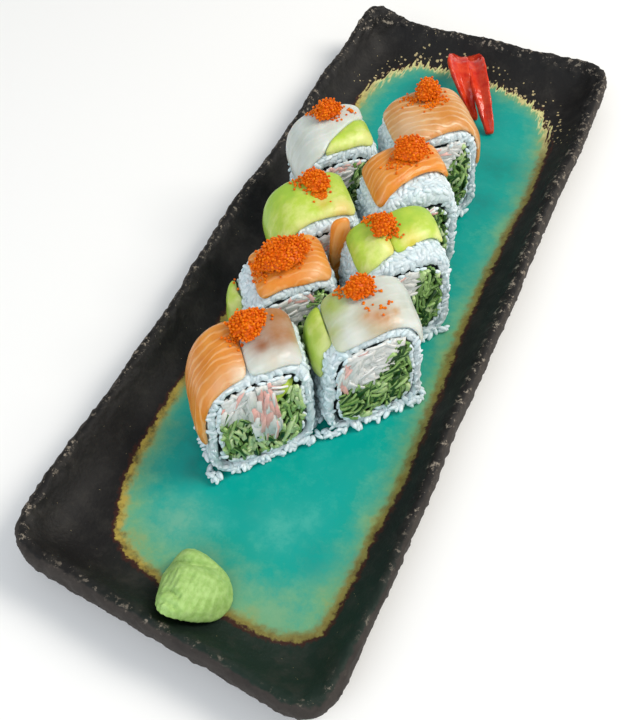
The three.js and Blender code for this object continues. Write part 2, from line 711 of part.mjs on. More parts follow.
// Wasabi: a pressed mound against the near rim, with a folded lobe at its far left.
function buildWasabi() {
  const shell = new Shell();
  const { spokes, rings } = WASABI;
  const at = (ring, spoke) => {
    const turn = spoke * TURN / spokes;
    const share = ring / rings;
    const swell = WASABI.swells.reduce((sum, { size, turn: middle, spread }) => (
      sum + size * Math.exp(-(((turn - middle) / spread) ** 2))), 0);
    const reach = share * (1 + WASABI.wobble * Math.sin(3 * turn + 1) + swell);
    const x = WASABI.x + WASABI.halfWidth * reach * Math.cos(turn);
    const y = WASABI.y + WASABI.halfLength * reach * Math.sin(turn);
    const dome = Math.max(0, 1 - share ** 2.4) ** 0.62;
    const crease = WASABI.creases.reduce((sum, { turn: facing, place, width, depth }) => (
      sum + depth * Math.exp(-(((reach * Math.cos(turn - facing) - place) / width) ** 2))), 0);
    const [, wallDrift] = cornerDrift(x, y);
    const base = plateHeight(y + PLATE.halfLength - wallDrift - WASABI.wallMargin) + REST;
    return { x, y, base, top: base + WASABI.edge + (WASABI.height - WASABI.edge - crease) * dome };
  };
  const over = [];
  for (let ring = 1; ring <= rings; ring += 1) {
    over.push(shell.ring(Array.from({ length: spokes }, (_, spoke) => {
      const { x, y, top } = at(ring, spoke);
      return new THREE.Vector3(x, y, top);
    })));
  }
  const foot = shell.ring(Array.from({ length: spokes }, (_, spoke) => {
    const { x, y, base } = at(rings, spoke);
    return new THREE.Vector3(
      WASABI.x + (x - WASABI.x) * WASABI.footShare, WASABI.y + (y - WASABI.y) * WASABI.footShare, base);
  }));
  shell.fan(over[0], shell.add(new THREE.Vector3(WASABI.x, WASABI.y, FLOOR + WASABI.height)), false);
  for (let ring = 1; ring < rings; ring += 1) {
    shell.band(over[ring], over[ring - 1]);
  }
  shell.band(foot, over[rings - 1]);
  shell.fan(foot, shell.add(new THREE.Vector3(WASABI.x, WASABI.y, FLOOR + REST + WASABI.hollow)), true);
  return shell.mesh('wasabi', 'wasabi');
}

// A folded slice of ginger: a strip whose section bends into a shallow U along a low arch.
function buildGinger(slice) {
  const shell = new Shell();
  const start = new THREE.Vector2(...slice.from);
  const end = new THREE.Vector2(...slice.to);
  const heading = end.clone().sub(start).normalize();
  const sideways = new THREE.Vector2(heading.y, -heading.x);
  const steps = GINGER_STEPS;
  const columns = GINGER_COLUMNS;
  const rings = [];
  for (let i = 0; i <= steps; i += 1) {
    const share = i / steps;
    const centre = start.clone().lerp(end, share);
    centre.addScaledVector(sideways, -slice.bow * Math.sin(Math.PI * share));
    const [near, middleWidth, far] = slice.widths;
    const ends = near * (1 - share) + far * share;
    const halfWidth = (ends + (middleWidth - (near + far) / 2) * Math.sin(Math.PI * share)) / 2;
    const lift = slice.arch * Math.sin(Math.PI * GINGER_CURL * share);
    const point = (column, upper) => {
      const across = column / columns * 2 - 1;
      const fold = GINGER_FOLD * Math.abs(across) ** 1.5 * Math.sin(Math.PI * share);
      const lean = slice.twist * across * halfWidth * 0.6;
      const x = centre.x + sideways.x * across * halfWidth;
      const y = centre.y + sideways.y * across * halfWidth;
      const foot = FLOOR + REST + (upper ? GINGER_THICKNESS : 0);
      return new THREE.Vector3(x, y, foot + Math.max(0, lift + fold + lean));
    };
    const upperSide = Array.from({ length: columns + 1 }, (_, column) => point(column, true));
    const lowerSide = Array.from({ length: columns + 1 }, (_, column) => point(columns - column, false));
    rings.push(shell.ring([...upperSide, ...lowerSide]));
  }
  rings.slice(1).forEach((ring, i) => shell.band(rings[i], ring));
  const cap = (ring, reverse) => {
    const count = ring.length;
    for (let i = 0; i < columns; i += 1) {
      const [a, b, c, d] = [ring[i], ring[i + 1], ring[count - 2 - i], ring[count - 1 - i]];
      if (reverse) {
        shell.quad(d, c, b, a);
      } else {
        shell.quad(a, b, c, d);
      }
    }
  };
  cap(rings[0], true);
  cap(rings[rings.length - 1], false);
  return shell.mesh(slice.name, 'ginger');
}

function buildPlatter() {
  const platter = new THREE.Group();
  platter.add(buildPlate());
  PIECES.forEach((piece, index) => platter.add(buildPiece(piece, index)));
  platter.add(buildStrip());
  platter.add(buildWasabi());
  GINGER.forEach((slice) => platter.add(buildGinger(slice)));
  return platter;
}

// The plate's underside is centred on the origin.
const platter = buildPlatter();
const middle = new THREE.Box3().setFromObject(platter).getCenter(new THREE.Vector3());
platter.position.set(-middle.x, -middle.y, 0);

export default platter;
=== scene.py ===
# Eight uramaki pieces with fish, avocado and roe on top, in two rows on a long slab plate
# with a teal glaze pool, a mound of wasabi and two slices of pickled ginger.
import math
import random
from collections import namedtuple
from functools import partial

import bpy
import numpy as np
from mathutils import Matrix, Vector
from mathutils.bvhtree import BVHTree


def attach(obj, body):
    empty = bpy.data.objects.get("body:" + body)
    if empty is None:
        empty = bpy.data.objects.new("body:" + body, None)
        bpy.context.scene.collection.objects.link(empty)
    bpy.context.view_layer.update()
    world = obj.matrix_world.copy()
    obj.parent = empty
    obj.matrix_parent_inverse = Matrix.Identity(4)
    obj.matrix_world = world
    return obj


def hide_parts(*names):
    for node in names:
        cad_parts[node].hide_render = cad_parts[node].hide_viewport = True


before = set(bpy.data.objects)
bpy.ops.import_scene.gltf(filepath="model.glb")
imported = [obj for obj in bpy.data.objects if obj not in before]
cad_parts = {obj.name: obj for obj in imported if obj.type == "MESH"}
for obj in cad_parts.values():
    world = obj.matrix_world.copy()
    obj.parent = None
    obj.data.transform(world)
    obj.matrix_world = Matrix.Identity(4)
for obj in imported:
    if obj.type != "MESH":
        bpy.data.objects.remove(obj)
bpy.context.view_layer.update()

MM = 0.001
UP = Vector((0, 0, 1))

# How the rows lie on the plate. Each piece leans back by 8 degrees, and drifts sideways over its depth.
ROW_TURN = math.radians(50)
ROW_SHIFT = Vector((2.699, 0.606, 6.3))
LEAN = math.tan(math.radians(8))
SIDE_DRIFT = 0.2

# Where each piece's cut face stands, and its size in mm. Crown is the extra rice above the nori.
Piece = namedtuple("Piece", "across along width height depth crown")
PIECES = {
    "L1": Piece(-70.4, -60.5, 39, 41, 25, 0),
    "L2": Piece(-42.8, -29, 37, 38.5, 22, 0),
    "L3": Piece(-20.2, -6.5, 34.5, 39.5, 26, 1),
    "L4": Piece(4.8, 26.5, 35, 40.5, 26, 2),
    "R1": Piece(-28.5, -61.5, 37.6, 40, 24.5, 0),
    "R2": Piece(-2.5, -36.3, 39.4, 40.5, 25, 1.5),
    "R3": Piece(17.5, -10, 36.6, 43, 26, 4.5),
    "R4": Piece(42.8, 16.5, 38.6, 42, 28, 1),
}

# Each slice: its node, its piece, its fish or fruit, and how steeply its fat lines cross it.
SLICES = {
    "salmon_L1": ("L1", "salmon", 0.12),
    "white_fish_L1": ("L1", "white_fish", 0.1),
    "salmon_L2": ("L2", "salmon", -0.1),
    "avocado_L2": ("L2", "avocado", 0),
    "avocado_L3": ("L3", "avocado", 0.1),
    "white_fish_L4": ("L4", "white_fish", 0.1),
    "avocado_L4": ("L4", "avocado", 0.1),
    "avocado_R1": ("R1", "avocado", 0),
    "white_fish_R1": ("R1", "white_fish", 0.15),
    "avocado_left_R2": ("R2", "avocado", 0.1),
    "avocado_right_R2": ("R2", "avocado", 0.1),
    "salmon_R3": ("R3", "salmon", 0.35),
    "salmon_R4": ("R4", "pale_salmon", -0.3),
    "salmon_strip_L3": ("L3", "salmon", 0.2),
}

# The nori is a rounded square. NORI_EDGE and NORI_INSIDE say how far its cut edge and its inner face lie in
# from the outside of the rice, in mm, and NORI_CURVE is its power.
NORI_EDGE = 4.6
NORI_INSIDE = 4.9
NORI_CURVE = 3.6

# No grain lies lower than this, in mm, where a piece stands on the plate.
FOOT = 6.9

# How far the front edge of a slice bends down to the rice, and over how much of its depth, in mm.
TUCK = 1.3
TUCK_REACH = 4.5

# How far apart the small things lie, in mm.
GRAIN_SPACING = 1.75
EGG_SPACING = 0.85
SHRED_SPACING = 1.6
STRAND_SPACING = 1.55

# The edge of the glaze pool on the plate, in mm, anticlockwise from the left side.
POOL_EDGE = [(-40.1, -85), (-39, -108), (-36.4, -122), (-29.7, -138), (-21.6, -144), (-8.6, -147.4),
             (14, -149.4), (32.6, -150), (41.1, -147), (46.6, -142.5), (48.1, -133), (48.8, -121),
             (49.4, -105), (51, -87), (50.4, -70), (49.8, -52), (48.7, -28), (47.9, -6), (47.8, 15),
             (48, 32), (48.6, 52), (50.3, 75), (49, 108), (45.6, 126), (39, 138), (30.8, 144.5), (14.4, 149),
             (-8, 151), (-27.7, 150.4), (-35.6, 143), (-42, 128), (-44.6, 112), (-44, 60), (-41.5, 0),
             (-39.6, -60)]


def linear(hex_code):
    """An sRGB hex colour as the linear colour that shaders take."""
    parts = [int(hex_code[i:i + 2], 16) / 255 for i in (1, 3, 5)]
    return [p / 12.92 if p <= 0.04045 else ((p + 0.055) / 1.055) ** 2.4 for p in parts] + [1.0]


def feed(node, inputs):
    """Gives a node's inputs numbers, colours as hex codes, or links from other nodes."""
    for name, value in inputs.items():
        if isinstance(value, bpy.types.Node):
            value = next(socket for socket in value.outputs if socket.enabled)
        if isinstance(value, bpy.types.NodeSocket):
            node.id_data.links.new(value, node.inputs[name])
        else:
            node.inputs[name].default_value = linear(value) if isinstance(value, str) else value


def add_node(tree, kind, inputs=None, stops=None, **settings):
    """Adds a node with its settings, its ramp's stops and what its inputs are fed. A math node adds, unless
    its operation says otherwise."""
    made = tree.nodes.new(kind)
    for name, value in settings.items():
        setattr(made, name, value)
    if stops:
        ramp = made.color_ramp.elements
        while len(ramp) < len(stops):
            ramp.new(1.0)
        for element, (position, colour) in zip(ramp, stops):
            element.position = position
            element.color = linear(colour)
    feed(made, inputs or {})
    return made


def finish_of(name):
    """A new material, its surface shader, and the function that adds a node to it."""
    material = bpy.data.materials.new(name)
    material.use_nodes = True
    tree = material.node_tree
    return material, tree.nodes["Principled BSDF"], partial(add_node, tree)


# Meshes

def add_object(name, data):
    """A new object in the scene."""
    obj = bpy.data.objects.new(name, data)
    bpy.context.collection.objects.link(obj)
    return obj


def pick(obj):
    """Selects one object alone and makes it active."""
    bpy.ops.object.select_all(action="DESELECT")
    obj.select_set(True)
    bpy.context.view_layer.objects.active = obj


def apply_all(obj):
    pick(obj)
    for modifier in list(obj.modifiers):
        bpy.ops.object.modifier_apply(modifier=modifier.name)


def copy_of(node, name, material):
    """A copy of a solid of the frame, its triangles merged and turned to quads, ready to be worked on."""
    obj = add_object(name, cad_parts[node].data.copy())
    obj.data.materials.clear()
    obj.data.materials.append(material)
    pick(obj)
    bpy.ops.object.mode_set(mode="EDIT")
    bpy.ops.mesh.select_all(action="SELECT")
    bpy.ops.mesh.remove_doubles(threshold=0.01 * MM)
    bpy.ops.mesh.tris_convert_to_quads()
    bpy.ops.object.mode_set(mode="OBJECT")
    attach(obj, "root")
    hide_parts(node)
    return obj


def soften(obj, levels, split=0):
    """Rounds a shape with a subdivision surface. Splitting its faces first keeps the corners tight."""
    for kind, count in (("SIMPLE", split), ("CATMULL_CLARK", levels)):
        if count:
            rounding = obj.modifiers.new("round", "SUBSURF")
            rounding.subdivision_type = kind
            rounding.levels = rounding.render_levels = count
    apply_all(obj)
    bpy.ops.object.shade_smooth()


def swell(obj, depth):
    """Moves a surface outward by a depth in mm."""
    growth = obj.modifiers.new("swell", "DISPLACE")
    growth.strength = depth * MM
    growth.mid_level = 0.0
    apply_all(obj)


def even_out(obj, size):
    """Rebuilds a surface from even faces of a size in mm, so that fine relief has points to stand on."""
    grid = obj.modifiers.new("even", "REMESH")
    grid.mode = "VOXEL"
    grid.voxel_size = size * MM
    grid.use_smooth_shade = True
    apply_all(obj)


def roughen(obj, size, depth, middle=0.5, kind="CLOUDS"):
    """Gives a surface lumps of a size and depth in mm. Middle 1 only cuts inward."""
    texture = bpy.data.textures.new(f"{obj.name}_{size}", kind)
    texture.noise_scale = size * MM
    relief = obj.modifiers.new("relief", "DISPLACE")
    relief.texture = texture
    relief.texture_coords = "LOCAL"
    relief.strength = depth * MM
    relief.mid_level = middle
    apply_all(obj)


def points_of(obj):
    flat = np.empty(len(obj.data.vertices) * 3)
    obj.data.vertices.foreach_get("co", flat)
    return flat.reshape(-1, 3)


def set_points(obj, points):
    obj.data.vertices.foreach_set("co", np.asarray(points, dtype=float).ravel())
    obj.data.update()


def mark(obj, name, values):
    """Stores one vector, or one colour with its strength, for each point, which materials read."""
    values = np.asarray(values, dtype=float)
    kind, field = ("FLOAT_VECTOR", "vector") if values.shape[1] == 3 else ("FLOAT_COLOR", "color")
    obj.data.attributes.new(name, kind, "POINT").data.foreach_set(field, values.ravel())


def mark_whole(obj, name, value):
    """Stores the same value for every point."""
    mark(obj, name, [value] * len(obj.data.vertices))


def blurred(places, bleeds):
    """The tint of each flat place and its strength, from patches given as place, reach, colour, strength."""
    tints = np.zeros((len(places), 4))
    for across, along, reach, colour, strength in bleeds:
        gap = np.hypot(places[:, 0] - across, places[:, 1] - along) / reach
        share = (strength * np.exp(-gap ** 2))[:, None]
        tints[:, :3] = (tints[:, :3] * tints[:, 3:] + np.array(linear(colour)[:3]) * share) / np.maximum(
            tints[:, 3:] + share, 1e-6)
        tints[:, 3:] = np.maximum(tints[:, 3:], share)
    return tints


def distance_outside(points, outline):
    """How far each flat point lies outside a closed outline, less than 0 inside it."""
    start = np.array(outline, dtype=float)
    along = np.roll(start, -1, axis=0) - start
    away = points[:, None] - start
    share = np.clip((away * along).sum(2) / (along ** 2).sum(1), 0, 1)
    gap = np.linalg.norm(away - share[..., None] * along, axis=2).min(1)
    level = points[:, 1:2]
    crossed = (start[:, 1] > level) != (start[:, 1] + along[:, 1] > level)
    rise = np.where(along[:, 1] == 0, 1, along[:, 1])
    right_of = points[:, :1] < start[:, 0] + (level - start[:, 1]) / rise * along[:, 0]
    return np.where((crossed & right_of).sum(1) % 2 == 1, -gap, gap)


def many(small, places, rng):
    """One mesh of copies of a small thing, one at each place, each with its own tint."""
    base = points_of(small)
    faces = [list(polygon.vertices) for polygon in small.data.polygons]
    slots = [polygon.material_index for polygon in small.data.polygons]
    points = [base @ np.array(place.to_3x3()).T + np.array(place.translation) for place in places]
    mesh = bpy.data.meshes.new(f"many_{small.name}")
    mesh.from_pydata(
        np.concatenate(points).tolist(), [],
        [[i + k * len(base) for i in face] for k in range(len(places)) for face in faces])
    for material in small.data.materials:
        mesh.materials.append(material)
    mesh.polygons.foreach_set("material_index", slots * len(places))
    obj = add_object(mesh.name, mesh)
    tints = [[rng.random(), rng.random(), rng.random()] for _ in places]
    mark(obj, "tint", np.repeat(tints, len(base), axis=0))
    pick(obj)
    bpy.ops.object.shade_smooth()
    return obj


def cover(core, kinds, rng):
    """Joins to a core the copies of each kind of small thing, which come with their places."""
    covers = [many(kind, places, rng) for kind, places in kinds.items()]
    pick(core)
    for obj in covers:
        obj.select_set(True)
    bpy.ops.object.join()


def spots_on(obj, spacing, rng, keep):
    """Random places on a surface with their normals, no two closer than the spacing in mm."""
    mesh = obj.data
    mesh.calc_loop_triangles()
    triangles = [t for t in mesh.loop_triangles if t.area > 0]
    shares = np.cumsum([t.area for t in triangles])
    gap = spacing * MM
    cells = {}
    spots = []
    for _ in range(int(shares[-1] / gap ** 2 * 5)):
        triangle = triangles[min(int(np.searchsorted(shares, rng.random() * shares[-1])), len(triangles) - 1)]
        a, b = math.sqrt(rng.random()), rng.random()
        corners = [mesh.vertices[i].co for i in triangle.vertices]
        point = corners[0] * (1 - a) + corners[1] * (a * (1 - b)) + corners[2] * (a * b)
        cell = tuple(int(c // gap) for c in point)
        near = (other for i in (-1, 0, 1) for j in (-1, 0, 1) for k in (-1, 0, 1)
                for other in cells.get((cell[0] + i, cell[1] + j, cell[2] + k), ()))
        if any((other - point).length < gap for other in near) or not keep(point, triangle.normal):
            continue
        cells.setdefault(cell, []).append(point)
        spots.append((point, triangle.normal.copy()))
    return spots


def lying(point, normal, turn, tilt, scale):
    """The place of a small thing that lies on a surface, turned about the normal and tilted off it."""
    flat = normal.to_track_quat("Z", "Y").to_matrix().to_4x4()
    return (Matrix.Translation(point) @ flat @ Matrix.Rotation(turn, 4, "Z")
            @ Matrix.Rotation(tilt, 4, "Y") @ Matrix.Diagonal((*scale, 1)))


# Places on a piece

def from_piece(name, u, back, z):
    """The place that is u across the cut face, back from it and z up, in mm, with the piece's lean."""
    piece = PIECES[name]
    x, y = piece.across + u + SIDE_DRIFT * back, piece.along + back + LEAN * z
    c, s = math.cos(ROW_TURN), math.sin(ROW_TURN)
    return (Vector((x * c - y * s, x * s + y * c, z)) + ROW_SHIFT) * MM


def to_piece(name, point):
    """The same, the other way round."""
    piece = PIECES[name]
    x, y, z = Vector(point) / MM - ROW_SHIFT
    c, s = math.cos(ROW_TURN), math.sin(ROW_TURN)
    x, y = x * c + y * s - piece.across, y * c - x * s - piece.along
    back = y - LEAN * z
    return x - SIDE_DRIFT * back, back, z


def around(name, u, z):
    """The angle of a point round the middle of the cut face, in degrees, from -90 at the base to 270."""
    angle = math.degrees(math.atan2(z - PIECES[name].height / 2, u))
    return angle + 360 if angle < -90 else angle


def inside_nori(name, u, z, margin):
    """Whether a point of the cut face lies within the nori by a margin in mm."""
    piece = PIECES[name]
    half_width = piece.width / 2 - NORI_INSIDE - margin
    half_height = (piece.height - piece.crown) / 2 - NORI_INSIDE - margin
    middle = (piece.height - piece.crown) / 2
    return abs(u / half_width) ** NORI_CURVE + abs((z - middle) / half_height) ** NORI_CURVE < 1


def on_face(name, u, z, turn, lift, at_back, scale, tilt=0.0):
    """The place of a strip that lies on a cut face: turn is its angle to the level in the face."""
    depth = PIECES[name].depth
    back = depth + lift if at_back else -lift
    point = from_piece(name, u, back, z)
    level = (from_piece(name, u + 1, back, z) - point).normalized()
    up = (from_piece(name, u, back, z + 1) - point).normalized()
    out = level.cross(up).normalized() * (-1 if at_back else 1)
    along = level * math.cos(turn) + up * math.sin(turn)
    along = (along * math.cos(tilt) + out * math.sin(tilt)).normalized()
    side = out.cross(along).normalized()
    turned = Matrix((along, side, along.cross(side))).transposed().to_4x4()
    return Matrix.Translation(point) @ turned @ Matrix.Diagonal((*scale, 1))


# Materials

# From deep in the glaze pool out to its edge.
POOL_COLOURS = [(0.0, "#009A8F"), (0.3, "#0A9A8C"), (0.52, "#369B87"), (0.7, "#559F7F"), (0.86, "#6EA173"),
                (1.0, "#8C9A5A")]

# Clouds in the pool's glaze: across and along in mm, reach, colour and strength. The two dark patches along
# the left side of L1 are painted shadow, and the pale patches at the near end are partly the glaze's haze and
# partly a painted reflection of the window.
POOL_CLOUDS = [(19, -115, 8, "#58B3A2", 0.7), (26, -108, 6, "#4FB0A0", 0.5), (-12, -125, 10, "#66A78E", 0.85),
               (-1, -121, 4, "#58AE9F", 0.6), (2, -135, 6, "#6AA68A", 0.8), (15, -140, 9, "#68A585", 0.9),
               (30, -141, 8, "#72A57E", 0.85), (34, -120, 8, "#078D85", 0.7), (8, -112, 6, "#068F86", 0.6),
               (-16, -104, 7, "#0A7A73", 0.8), (-22, -96, 7, "#0B706A", 0.6), (32, 66, 9, "#0A7F78", 0.8),
               (31, 92, 12, "#087A70", 0.8), (36, 30, 8, "#10948A", 0.5), (30, 105, 8, "#2FA593", 0.6)]


def glazed_stoneware():
    """Slab-built stoneware with a poured glaze: a glassy teal pool that breaks to ochre and red-brown
    where it thins, a satin black glaze round it, and bare rough clay outside. The plate's own "pool"
    gives the distance past the pool's edge, the width of its hazy border and how far it is wall."""
    material, shader, put = finish_of("glazed_stoneware")
    place = put("ShaderNodeTexCoord").outputs["Object"]
    mm = put("ShaderNodeVectorMath", {0: place, "Scale": 1 / MM}, operation="SCALE")
    across, along, height = put("ShaderNodeSeparateXYZ", {0: mm}).outputs
    pool = put("ShaderNodeAttribute", attribute_name="pool").outputs["Vector"]
    past_edge, border, wall = put("ShaderNodeSeparateXYZ", {0: pool}).outputs
    far = put("ShaderNodeMapRange", {0: along, 1: 95, 2: 135}, interpolation_type="SMOOTHSTEP")
    near = put("ShaderNodeMapRange", {0: along, 1: -95, 2: -140}, interpolation_type="SMOOTHSTEP")
    right = put("ShaderNodeMapRange", {0: across, 1: -30, 2: 25})

    # The pool's edge is ragged by about 1 mm, and at the far end the glaze ran in drips 1.5 mm wide.
    ragged = put("ShaderNodeTexNoise", {"Vector": mm, "Scale": 1 / 2.6, "Detail": 4, "Roughness": 0.6})
    drip_place = put("ShaderNodeVectorMath", {0: mm, 1: (1 / 1.3, 1 / 7, 1 / 9)}, operation="MULTIPLY")
    drips = put("ShaderNodeTexNoise", {"Vector": drip_place, "Scale": 1.0, "Detail": 2})
    rag = put("ShaderNodeMapRange", {0: ragged, 1: 0.3, 2: 0.7, 3: -1.0, 4: 1.0})
    drip = put("ShaderNodeMapRange", {0: drips, 1: 0.35, 2: 0.65, 3: -2.6, 4: 2.6})
    rag = put("ShaderNodeMix", {0: far, 2: rag, 3: drip})
    edge = put("ShaderNodeMath", {0: past_edge, 1: rag})

    # Inside the edge the glaze goes through sage haze to teal, clouded by patches 16 mm and 5 mm across.
    clouds = put("ShaderNodeTexNoise", {"Vector": mm, "Scale": 1 / 16, "Detail": 6, "Roughness": 0.62})
    inward = put("ShaderNodeMath", {0: past_edge, 1: border}, operation="DIVIDE")
    cloud = put("ShaderNodeMapRange", {0: clouds, 1: 0.3, 2: 0.7, 3: -0.22, 4: 0.22})
    inward = put("ShaderNodeMath", {0: inward, 1: cloud})
    streaks = put("ShaderNodeTexNoise", {"Vector": mm, "Scale": 1 / 5, "Detail": 5, "Roughness": 0.7})
    wisp = put("ShaderNodeMapRange", {0: streaks, 1: 0.35, 2: 0.65, 3: -0.16, 4: 0.16})
    inward = put("ShaderNodeMath", {0: inward, 1: wisp})
    deep = put("ShaderNodeMapRange", {0: inward, 1: -1.4, 2: 0.0})
    colour = put("ShaderNodeValToRGB", {0: deep}, stops=POOL_COLOURS)
    bright = put("ShaderNodeMapRange", {0: streaks, 1: 0.5, 2: 0.8, 3: 0.0, 4: 0.25})
    colour = put("ShaderNodeMix", {0: bright, 6: colour, 7: "#4FB5A4"}, data_type="RGBA")
    # The plate's "bleed" lays the listed clouds over the glaze, with painted shadow beside L1 and a painted
    # reflection at the near end among them.
    stain = put("ShaderNodeAttribute", attribute_name="bleed")
    wisps = put("ShaderNodeMapRange", {0: streaks, 1: 0.3, 2: 0.62, 3: 0.25, 4: 1.0})
    stained = put("ShaderNodeMath", {0: stain.outputs["Alpha"], 1: wisps}, operation="MULTIPLY")
    colour = put("ShaderNodeMix", {0: stained, 6: colour, 7: stain.outputs["Color"]}, data_type="RGBA")

    # The ochre band is 4 mm wide: gold on the left, brown-gold on the right and near, cream far away. A
    # burnt red-brown line a little over 1 mm wide runs round it.
    sand = put("ShaderNodeMix", {0: right, 6: "#B3983C", 7: "#807232"}, data_type="RGBA")
    sand = put("ShaderNodeMix", {0: far, 6: sand, 7: "#DAD695"}, data_type="RGBA")
    rust = put("ShaderNodeMix", {0: far, 6: "#5F4C18", 7: "#C9B87E"}, data_type="RGBA")
    patchy = put("ShaderNodeMapRange", {0: streaks, 1: 0.44, 2: 0.64})
    ochre = put("ShaderNodeMix", {0: patchy, 6: sand, 7: rust}, data_type="RGBA")
    in_band = put("ShaderNodeMapRange", {0: edge, 1: -4.6, 2: -1.3}, interpolation_type="SMOOTHSTEP")
    in_band = put("ShaderNodeMath", {0: in_band, 1: 0.9}, operation="MULTIPLY")
    colour = put("ShaderNodeMix", {0: in_band, 6: colour, 7: ochre}, data_type="RGBA")
    burnt = put("ShaderNodeMapRange", {0: edge, 1: -0.7, 2: 0.0})
    colour = put("ShaderNodeMix", {0: burnt, 6: colour, 7: "#351408"}, data_type="RGBA")

    # The black glaze is brown, mottled in patches 6 mm across. Near the wasabi it is green, partly the
    # glaze's own cast and partly a painted sheen.
    mottled = put("ShaderNodeTexNoise", {"Vector": mm, "Scale": 1 / 6, "Detail": 6, "Roughness": 0.65})
    green_end = put("ShaderNodeMath", {0: near, 1: right}, operation="MULTIPLY")
    black = put("ShaderNodeMix", {0: green_end, 6: "#0F0D0C", 7: "#0A2016"}, data_type="RGBA")
    worn = put("ShaderNodeMapRange", {0: mottled, 1: 0.48, 2: 0.75, 3: 0.0, 4: 0.5})
    black = put("ShaderNodeMix", {0: worn, 6: black, 7: "#34312C"}, data_type="RGBA")

    # Cream specks stand up to 14 mm past the pool at the far end, and a few elsewhere.
    speck = put("ShaderNodeTexVoronoi", {"Vector": mm, "Scale": 1 / 2.4})
    reach = put("ShaderNodeMapRange", {0: edge, 1: 0, 2: 14, 3: 0.42, 4: 0.0})
    reach = put("ShaderNodeMath", {0: reach, 1: far}, operation="MULTIPLY")
    reach = put("ShaderNodeMath", {0: reach, 1: 0.04}, operation="MAXIMUM")
    specked = put("ShaderNodeMath", {0: speck, 1: reach}, operation="LESS_THAN")
    chance = put("ShaderNodeMath", {0: mottled, 1: 0.47}, operation="GREATER_THAN")
    specked = put("ShaderNodeMath", {0: specked, 1: chance}, operation="MULTIPLY")
    black = put("ShaderNodeMix", {0: specked, 6: black, 7: "#B5A57A"}, data_type="RGBA")
    outside = put("ShaderNodeMapRange", {0: edge, 1: 0.3, 2: 1.3})
    colour = put("ShaderNodeMix", {0: outside, 6: colour, 7: black}, data_type="RGBA")

    # Bare clay on the walls, and pale flecks along the crest of the rim, partly worn chips and partly a
    # painted highlight where light catches the rim's top edge.
    bare = put("ShaderNodeMath", {0: wall, 1: ragged})
    bare = put("ShaderNodeMapRange", {0: bare, 1: 0.75, 2: 1.05})
    clay = put("ShaderNodeMix", {0: mottled, 6: "#1D1A18", 7: "#4A443F"}, data_type="RGBA")
    colour = put("ShaderNodeMix", {0: bare, 6: colour, 7: clay}, data_type="RGBA")
    crest = put("ShaderNodeMapRange", {0: height, 1: 15.9, 2: 17.2})
    flakes = put("ShaderNodeTexNoise", {"Vector": mm, "Scale": 1 / 2.4, "Detail": 6, "Roughness": 0.75})
    chip = put("ShaderNodeMapRange", {0: flakes, 1: 0.55, 2: 0.6})
    chip = put("ShaderNodeMath", {0: chip, 1: chance}, operation="MULTIPLY")
    # Pale flecks on the crest: worn chips and a painted highlight.
    chipped = put("ShaderNodeMath", {0: chip, 1: crest}, operation="MULTIPLY")
    colour = put("ShaderNodeMix", {0: chipped, 6: colour, 7: "#8A8072"}, data_type="RGBA")

    dry = put("ShaderNodeMapRange", {0: edge, 1: -3, 2: 0.5, 3: 0.2, 4: 0.62})
    rough = put("ShaderNodeMix", {0: bare, 2: dry, 3: 0.85})
    grit = put("ShaderNodeTexNoise", {"Vector": mm, "Scale": 1 / 1.2, "Detail": 4})
    depth = put("ShaderNodeMapRange", {0: edge, 1: -3, 2: 0.5, 3: 0.04, 4: 0.35})
    bump = put("ShaderNodeBump", {"Height": grit, "Strength": depth, "Distance": 0.6 * MM})
    feed(shader, {"Base Color": colour, "Roughness": rough, "Normal": bump, "Specular IOR Level": 0.3})
    return material


def soak(shader, colour, bump, roughness, soft, radius, specular=0.5):
    """The wet surface of food: light soaks in by a radius in mm for red, green and blue."""
    feed(shader, {"Base Color": colour, "Normal": bump, "Roughness": roughness, "IOR": 1.4,
                  "Specular IOR Level": specular, "Subsurface Weight": soft, "Subsurface Scale": 1.0,
                  "Subsurface Radius": [r * MM for r in radius]})


def moist(name, dark, light, size, roughness, soft, radius, relief=0.15, tinted=True, specular=0.5):
    """A moist food finish: a base mottled between two colours, with light that soaks in."""
    material, shader, put = finish_of(name)
    place = put("ShaderNodeTexCoord").outputs["Object"]
    mottle = put("ShaderNodeTexNoise", {
        "Vector": place, "Scale": 1 / (size * MM), "Detail": 3, "Roughness": 0.6})
    share = put("ShaderNodeMapRange", {0: mottle, 1: 0.35, 2: 0.65})
    if tinted:
        tint = put("ShaderNodeAttribute", attribute_name="tint")
        tint = put("ShaderNodeSeparateXYZ", {0: tint.outputs["Vector"]})
        share = put("ShaderNodeMix", {0: 0.6, 2: share, 3: tint.outputs[0]})
    colour = put("ShaderNodeMix", {0: share, 6: dark, 7: light}, data_type="RGBA")
    bump = put("ShaderNodeBump", {"Height": mottle, "Strength": relief, "Distance": size * MM / 3})
    soak(shader, colour, bump, roughness, soft, radius, specular)
    return material


